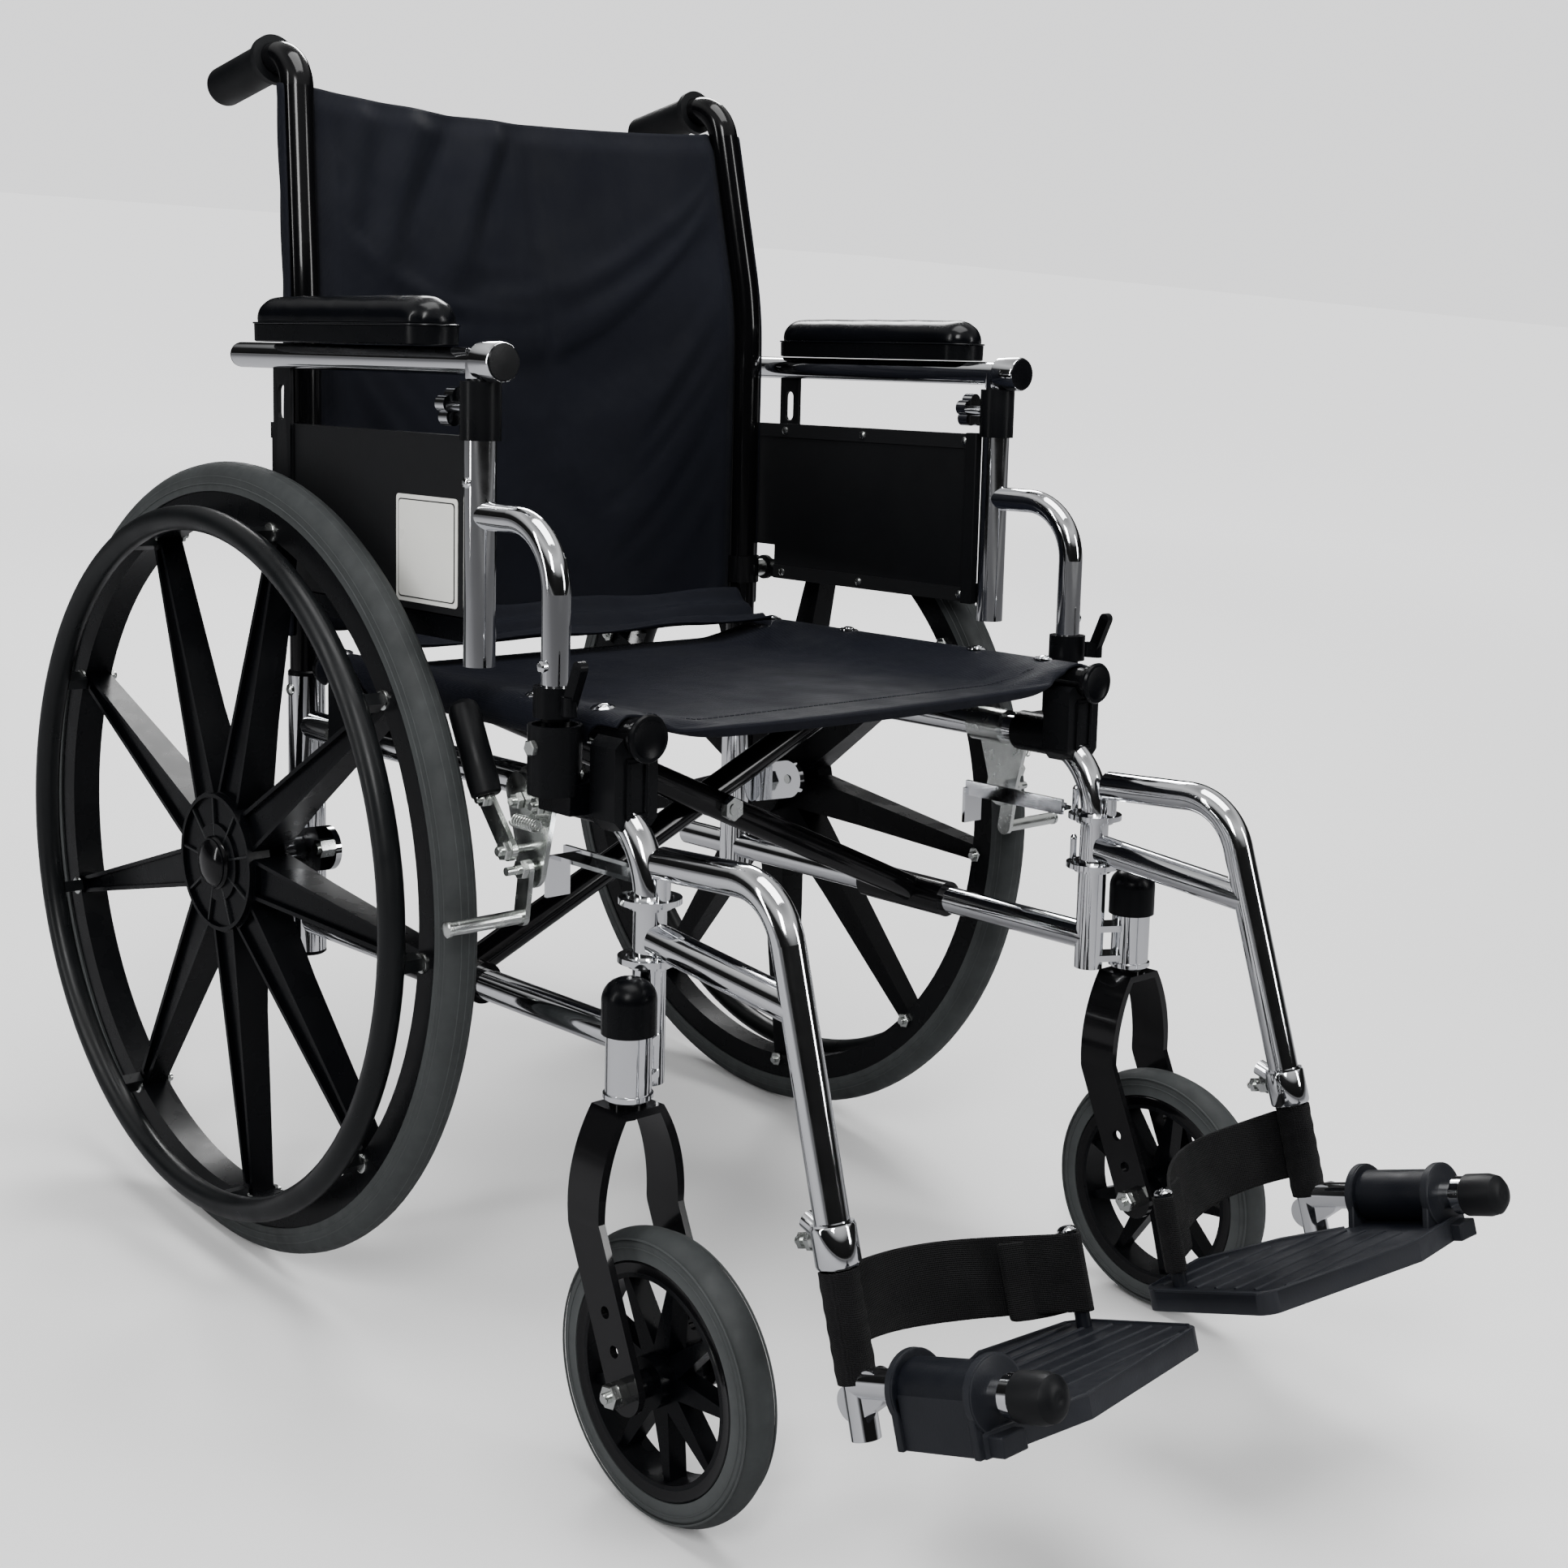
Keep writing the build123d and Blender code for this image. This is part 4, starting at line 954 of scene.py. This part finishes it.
def make_label():
    """A blank plate on the outside of the right skirt."""
    round_r = 3.0
    for name, finish, inset, lift in (("label_plate", LABEL, 0.0, 0.5),
                                      ("label_border", INK, 3.0, 0.85),
                                      ("label_face", LABEL, 3.9, 1.0)):
        front, low = -254.0 + inset + round_r, 522.0 + inset + round_r
        rear, high = -179.0 - inset - round_r, 597.0 - inset - round_r
        rounds = ((rear, high, 0), (front, high, 90), (front, low, 180), (rear, low, 270))
        corners = []
        for y, z, first in rounds:
            for k in range(5):
                a = radians(first + 22.5 * k)
                corners.append(at(-256.6, y + round_r * cos(a), z + round_r * sin(a)))
        shape = Shape()
        shape.prism(corners, Vector((-lift / 1000, 0, 0)))
        piece(name, shape, finish, "panel", "armrest_body_right")


# ---- frame hardware ----------------------------------------------------------------------
def make_frame_fittings():
    for side, g in SIDES:
        body = f"{side}_frame"
        bolts = Shape()
        bolts.hexagon(at(g * (ARM_X + 17.6), LEG_Y, 444.0), turn(g, 0, 0), 5.6, 4.0)
        bolts.hexagon(at(g * 241.2, -374.0, 425.0), turn(g, 0, 0), 6.4, 4.0, 3.2)
        bolts.hexagon(at(g * 236.6, -60.0, UPPER_Z), turn(g, 0, 0), 5.6, 4.0)
        bolts.hexagon(at(g * SIDE_X, -40.0, UPPER_Z - 12.0), turn(0, 0, -1), 5.2, 4.0)
        for z in (434.0, 270.0):
            bolts.turned(at(g * (SIDE_X + 13.6), CANE_Y, z), turn(g, 0, 0),
                         [(0, 4.6), (1.8, 4.4), (2.9, 2.8), (3.1, 0.8)], 20)
        piece(f"frame_bolts_{side}", bolts, ZINC, "zinc", body)
        pocket = Shape()
        for y in (-412.0, -92.0):
            bars = ((-9, 9, 399, 402), (-9, 9, 436, 439), (-9, -6, 402, 436), (6, 9, 402, 436))
            for x0, x1, z0, z1 in bars:
                section = ((x0, z0), (x1, z0), (x1, z1), (x0, z1))
                corners = [at(g * SIDE_X + x, y + 0.4, z) for x, z in section]
                pocket.prism(corners, turn(0, -1, 0) * 0.0022)
        piece(f"guide_ribs_{side}", pocket, PLASTIC, "black_plastic", body, bevel=0.5)
        cap = Shape()
        cap.turned(at(g * SIDE_X, CANE_Y, 445.2), turn(0, 0, 1),
                   [(0, 14.2), (2.4, 14.2), (3.6, 13.2), (3.8, 12.9)], 32)
        cap.turned(at(g * SIDE_X, CANE_Y, 226.0), turn(0, 0, -1),
                   [(0, 14.4), (2.0, 14.4), (3.2, 13.0), (3.4, 2.0)], 32)
        piece(f"post_caps_{side}", cap, PLASTIC, "black_plastic", body)
        ring = Shape()
        for z in (269.2, 226.4):
            ring.turned(at(g * CASTER_X, CASTER_Y, z), turn(0, 0, 1),
                        [(0, 15.2), (0.5, 16.4), (3.4, 16.4), (4.0, 15.2)], 36)
        piece(f"caster_rings_{side}", ring, CHROME, "chrome_tube", body)


def make_brake_details():
    for side, g in SIDES:
        lever = f"brake_lever_body_{side}"
        shape = Shape()
        low, high = at(g * 257.0, -290.0, 398.0), at(g * 257.0, -259.0, 460.0)
        run = (high - low).length * 1000
        shape.turned(low, high - low,
                     [(0, 9.2), (1.5, 10.6), (10, 11.2), (run * 0.5, 11.0), (run - 9, 11.0),
                      (run - 4, 9.6), (run - 1.4, 6.6), (run, 2.4)], 32)
        piece(f"brake_grip_{side}", shape, RUBBER, "grip_rubber", lever)
        bits = Shape()
        bits.hexagon(at(g * 259.2, -316.0, 365.0), turn(g, 0, 0), 7.0, 4.6, 3.4)
        bits.hexagon(at(g * 259.2, -290.0, 396.0), turn(g, 0, 0), 5.4, 3.6, 2.6)
        piece(f"brake_lever_nuts_{side}", bits, ZINC, "zinc", lever)
        fixed = Shape()
        fixed.hexagon(at(g * 242.6, -330.0, 396.0), turn(g, 0, 0), 6.2, 4.4, 3.2)
        fixed.hexagon(at(g * 242.6, -307.0, 396.0), turn(g, 0, 0), 6.2, 4.4, 3.2)
        piece(f"brake_clamp_nuts_{side}", fixed, ZINC, "zinc", f"{side}_frame")
        coil = Shape()
        line = []
        coils, coil_r = 9, 4.2
        for k in range(121):
            t = k / 120
            a = 2 * pi * coils * t
            x, z = 250.0 + coil_r * cos(a), 384.0 + coil_r * sin(a)
            line.append(at(g * x, -338.0 + 26.0 * t, z))
        coil.tube(line, 0.7, 8)
        piece(f"brake_spring_{side}", coil, ZINC, "zinc", f"{side}_frame")
        shoe = Shape()
        shoe.hexagon(at(g * 249.2, -322.0, 352.0), turn(g, 0, 0), 7.0, 4.6, 3.4)
        shoe.turned(at(g * 304.9, -317.0, 318.0), turn(g, 0, 0),
                    [(0, 4.9), (1.0, 5.6), (3.4, 5.6), (4.2, 4.0)], 20)
        piece(f"brake_shoe_nuts_{side}", shoe, ZINC, "zinc", f"brake_shoe_body_{side}")


def circle(centre, radius, steps):
    """Points round an upright circle, in metres, with the first repeated at the end."""
    turns = [2 * pi * k / steps for k in range(steps + 1)]
    return [centre + Vector((0, cos(a), sin(a))) * radius / 1000 for a in turns]


def make_wheel_details():
    for side, g in SIDES:
        body = f"rear_wheel_body_{side}"
        hub = Shape()
        hub.turned(at(g * 301.5, 0, AXLE_Z), turn(g, 0, 0),
                   [(0, 20.5), (3.0, 20.5), (3.6, 19.6), (5.2, 18.8), (8.0, 15.5), (10.4, 9.5),
                    (11.2, 3.0)], 48)
        piece(f"hub_cap_{side}", hub, PAINT, "black_plastic", body)
        ribs, screws = Shape(), Shape()
        for k in range(SPOKES):
            a = radians(FIRST_SPOKE + 360.0 / SPOKES * (k + 0.5))
            way, across = turn(0, cos(a), sin(a)), turn(0, -sin(a), cos(a)) * 0.001
            root = at(g * 300.8, 0, AXLE_Z)
            inner, outer = root + way * 0.0195, root + way * 0.0512
            corners = [inner - across, outer - across, outer + across, inner + across]
            ribs.prism(corners, Vector((g * 0.0024, 0, 0)))
            a = radians(FIRST_SPOKE + 360.0 / SPOKES * k)
            seat = at(0, 0, AXLE_Z) + turn(0, cos(a), sin(a)) * 0.2665
            screws.hexagon(seat + ACROSS * g * 0.2695, turn(-g, 0, 0), 6.6, 3.0, 3.2)
            screws.turned(seat + ACROSS * g * 0.293, turn(g, 0, 0),
                          [(0, 7.4), (1.4, 7.2), (2.0, 6.2)], 20)
        piece(f"hub_ribs_{side}", ribs, RIM_COAT, "black_plastic", body, bevel=0.3)
        piece(f"spoke_screws_{side}", screws, ZINC, "zinc", body)
        lines = Shape()
        for x, r in ((-12.3, 294.2), (-12.9, 288.6), (12.3, 294.2), (12.9, 288.6), (-5.0, 303.4),
                     (0.0, 304.5), (5.0, 303.4)):
            lines.tube(circle(at(g * (WHEEL_X + x), 0, AXLE_Z), r, 128), 0.7, 6)
        piece(f"tread_lines_{side}", lines, TYRE, "tyre", body)


def make_caster_details():
    for side, g in SIDES:
        centre = Vector(JOINTS[f"caster_spin_{side}"]["pos_m"])
        body = f"caster_wheel_body_{side}"
        rings = Shape()
        for off in (-1, 1):
            for radius, thick, reach in ((90.5, 0.8, 12.6), (85.0, 0.7, 13.0)):
                rings.tube(circle(centre + ACROSS * off * reach / 1000, radius, 96), thick, 6)
        piece(f"caster_tread_lines_{side}", rings, TYRE, "tyre", body)
        shape = Shape()
        for off in (-1, 1):
            rows = []
            for height, radius in ((11.9, 76.9), (13.2, 75.6), (12.6, 73.0), (11.8, 68.0),
                                   (11.9, 66.2)):
                rows.append(circle(centre + ACROSS * off * height / 1000, radius, 96)[:-1])
            shape.sheet(rows, round_it=True)
            shape.sheet([rows[-1], rows[0]], round_it=True)
        piece(f"caster_rim_beads_{side}", shape, PAINT, "black_plastic", body)
        fork = Shape()
        for off in (-1, 1):
            fork.hexagon(centre + ACROSS * off * 0.0421, turn(off, 0, 0), 8.2, 5.5, 3.6)
        fork.turned(at(g * CASTER_X, CASTER_Y, 216.8), turn(0, 0, -1),
                    [(0, 7.0), (4.0, 7.0), (5.0, 6.0)], 6)
        piece(f"caster_nuts_{side}", fork, ZINC, "zinc", f"caster_body_{side}")


def hinge_of(side, g):
    """The footplate hinge's point and its direction to the front, in the row frame."""
    hinge = JOINTS[f"footplate_flip_{side}"]
    return Vector(hinge["pos_m"]), Vector(hinge["axis"]) * -g


def make_hanger_details():
    """The clamp at the foot of each hanger, with its bolt, and the hinge pins."""
    for side, g in SIDES:
        post = Vector(JOINTS[f"footrest_height_{side}"]["axis"])
        root, ahead = hinge_of(side, g)
        body = f"hanger_body_{side}"
        shape = Shape()
        away = -ahead
        ear = root - post * 0.0836 + away * 0.014
        shape.turned(ear, away, [(0, 7.0), (3.0, 7.0)], 22)
        shape.hexagon(ear + away * 0.003, away, 6.8, 5.5)
        shape.turned(ear + away * 0.0085, away, [(0, 3.4), (4.0, 3.4), (4.6, 2.6)], 16)
        shape.hexagon(ear + away * 0.0125, away, 5.6, 4.5, 2.6)
        piece(f"height_clamp_bolt_{side}", shape, ZINC, "zinc", body)
        band = Shape()
        band.turned(root - post * 0.0935, post,
                    [(0, 13.6), (1.2, 14.2), (23.0, 14.2), (24.6, 13.6)], 32)
        piece(f"height_clamp_{side}", band, CHROME, "chrome_tube", body)
        pins = Shape()
        for z in (311.0, 350.2):
            pins.turned(at(g * 222.0, -411.0, z + 16.0), turn(0, 0, 1),
                        [(0, 2.7), (2.0, 2.7), (4.2, 1.4), (4.6, 0.5)], 16)
            pins.turned(at(g * SIDE_X, -428.0, z), turn(0, 0, 1),
                        [(0, 15.4), (0.4, 15.6), (1.6, 15.0), (1.8, 11.8)], 30)
        piece(f"hanger_pins_{side}", pins, CHROME, "chrome_tube", body)


# ---- footrests ---------------------------------------------------------------------------
def make_footplate_details():
    for side, g in SIDES:
        root, ahead = hinge_of(side, g)
        inward, normal = Vector((-g, 0, 0)), Vector((0, ahead.z, -ahead.y))

        def on_plate(across, along_it, height):
            """A point inward of the hinge, forward along it and above it."""
            return root + (inward * across + ahead * along_it + normal * height) / 1000

        body = f"footplate_body_{side}"
        ribs = Shape()
        ridges = ((4, 112, 186), (20, 84, 188), (36, 52, 190), (52, 36, 190), (68, 36, 190),
                  (84, 36, 190), (100, 40, 178))
        for along_it, first, last in ridges:
            ends = [on_plate(end, along_it, PLATE_TOP - 0.1) for end in (first, last)]
            ribs.tube([ends[0], (ends[0] + ends[1]) / 2, ends[1]], 1.3, 10)
        edge = [(26, 44), (60, 13), (120, -16.5), (190, -3.5), (197.5, 8), (197.5, 92), (190, 100),
                (60, 124.5), (-15, 112.5)]
        ribs.tube([on_plate(a, b, PLATE_TOP - 0.4) for a, b in edge], 1.6, 8)
        piece(f"tread_ribs_{side}", ribs, COMPOSITE, "composite", body)
        housing = Shape()
        first, last = BARREL
        web = ((first + 2, 2), (last - 2, 2), (last - 2, PLATE_FOOT), (first + 2, PLATE_FOOT))
        housing.prism([on_plate(-18.0, a, h) for a, h in web], inward * 0.004)
        wall = ((-21, 0), (-21, PLATE_FOOT), (26, PLATE_FOOT), (26, PLATE_TOP), (21, 0))
        for along_it in (first + 1, last - 6):
            housing.prism([on_plate(a, along_it, h) for a, h in wall], ahead * 0.005)
        stop = ((-14, -19), (6, -19), (6, PLATE_FOOT), (-14, PLATE_FOOT))
        housing.prism([on_plate(a, last - 1, h) for a, h in stop], ahead * 0.012)
        piece(f"barrel_housing_{side}", housing, COMPOSITE, "composite", body, bevel=1.0)
        flange = Shape()
        for along_it in (first - 0.5, last - 5.7):
            flange.turned(on_plate(0, along_it, 0), ahead,
                          [(0, 20.0), (1.0, 22.6), (5.2, 22.6), (6.2, 20.0)], 40)
        piece(f"barrel_flanges_{side}", flange, COMPOSITE, "composite", body)
        tip = Shape()
        tip.turned(on_plate(0, 132.0, 0), ahead,
                   [(0, 13.1), (1.2, 14.4), (18.0, 14.6), (24.0, 13.2), (27.4, 9.6), (28.6, 4.0),
                    (28.0, 2.0)], 36)
        piece(f"stub_cap_{side}", tip, RUBBER, "grip_rubber", f"footrest_body_{side}")
        pin = Shape()
        pin.turned(on_plate(*PIN, 44.6), normal,
                   [(0, 6.4), (1.2, 6.4), (2.8, 4.8), (3.6, 2.0)], 24)
        piece(f"loop_pin_head_{side}", pin, CHROME, "chrome_tube", body)
        make_heel_loop(side, ahead, on_plate)


def make_heel_loop(side, ahead, on_plate):
    """Webbing from a sleeve on the lower post, round behind the heel, to the pin on the plate."""
    sleeve = Shape()
    rows = []
    for k in range(17):
        row = []
        for a in around(28):
            out = (ACROSS * cos(a) + ahead * sin(a)) * (11.6 + 0.5 * sin(k * 2.1 + a)) / 1000
            row.append(on_plate(0, 0, 1.0 + 66.0 * k / 16) + out)
        rows.append(row)
    sleeve.sheet(rows, round_it=True)
    made = piece(f"post_sleeve_{side}", sleeve, WEBBING, "webbing", f"footrest_body_{side}")
    thicken(made, 1.8)
    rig.sheet(made, flat=(0.073, 0.066), held="stretched", rests_on=[f"footrest_post_{side}"])
    loop = Shape()
    rows = []
    pin_across, pin_ahead = PIN
    for k in range(15):
        t = k / 14
        row = []
        for j in range(61):         # from the sleeve, round behind the heel
            s = j / 60
            across = 2 + (pin_across - 2) * s
            along_it = -12.4 * (1 - s) ** 2 - 132 * s * (1 - s) + 25.5 * s * s
            along_it += 1.2 * sin(s * 9) * (1 - s)
            height = 14.0 + 50.0 * t - 21.0 * s + 4.0 * sin(pi * s)
            height += 1.2 * sin(s * 7 + 3 * t) * (1 - s)
            row.append(on_plate(across, along_it, height))
        foot = 50.0 * t - 7.0
        for j in range(1, 10):      # round the pin
            a = pi * j / 10
            row.append(on_plate(pin_across + 7.3 * sin(a), pin_ahead + 7.5 * cos(a), foot))
        for j in range(9):          # and back along itself, where it is sewn
            off = j / 8
            row.append(on_plate(pin_across - 44.0 * off, pin_ahead - 7.5 - 13.5 * off,
                                foot + 4.0 * off * off))
        rows.append(row)
    loop.sheet(rows)
    made = piece(f"heel_webbing_{side}", loop, WEBBING, "webbing")
    thicken(made, 2.2)
    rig.blend(made, f"footrest_body_{side}", f"footplate_body_{side}",
             start=on_plate(20, 0, 30), end=on_plate(150, 0, 30))
    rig.replaces(made, f"heel_loop_{side}")
    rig.sheet(made, flat=(0.275, 0.05), held="stretched",
             rests_on=[f"footrest_post_{side}", f"footplate_{side}"])


make_seat()
make_seat_screws()
make_back()
make_back_pockets()
make_rear_flap()
make_stitching()
make_arm_pads()
make_arm_fittings()
make_label()
make_frame_fittings()
make_brake_details()
make_wheel_details()
make_caster_details()
make_hanger_details()
make_footplate_details()

sizes = {"cad": [list(corner) for corner in cad_box], "visual": [list(corner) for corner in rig.bounds()]}
with open("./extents.json", "w") as out:
    json.dump(sizes, out)
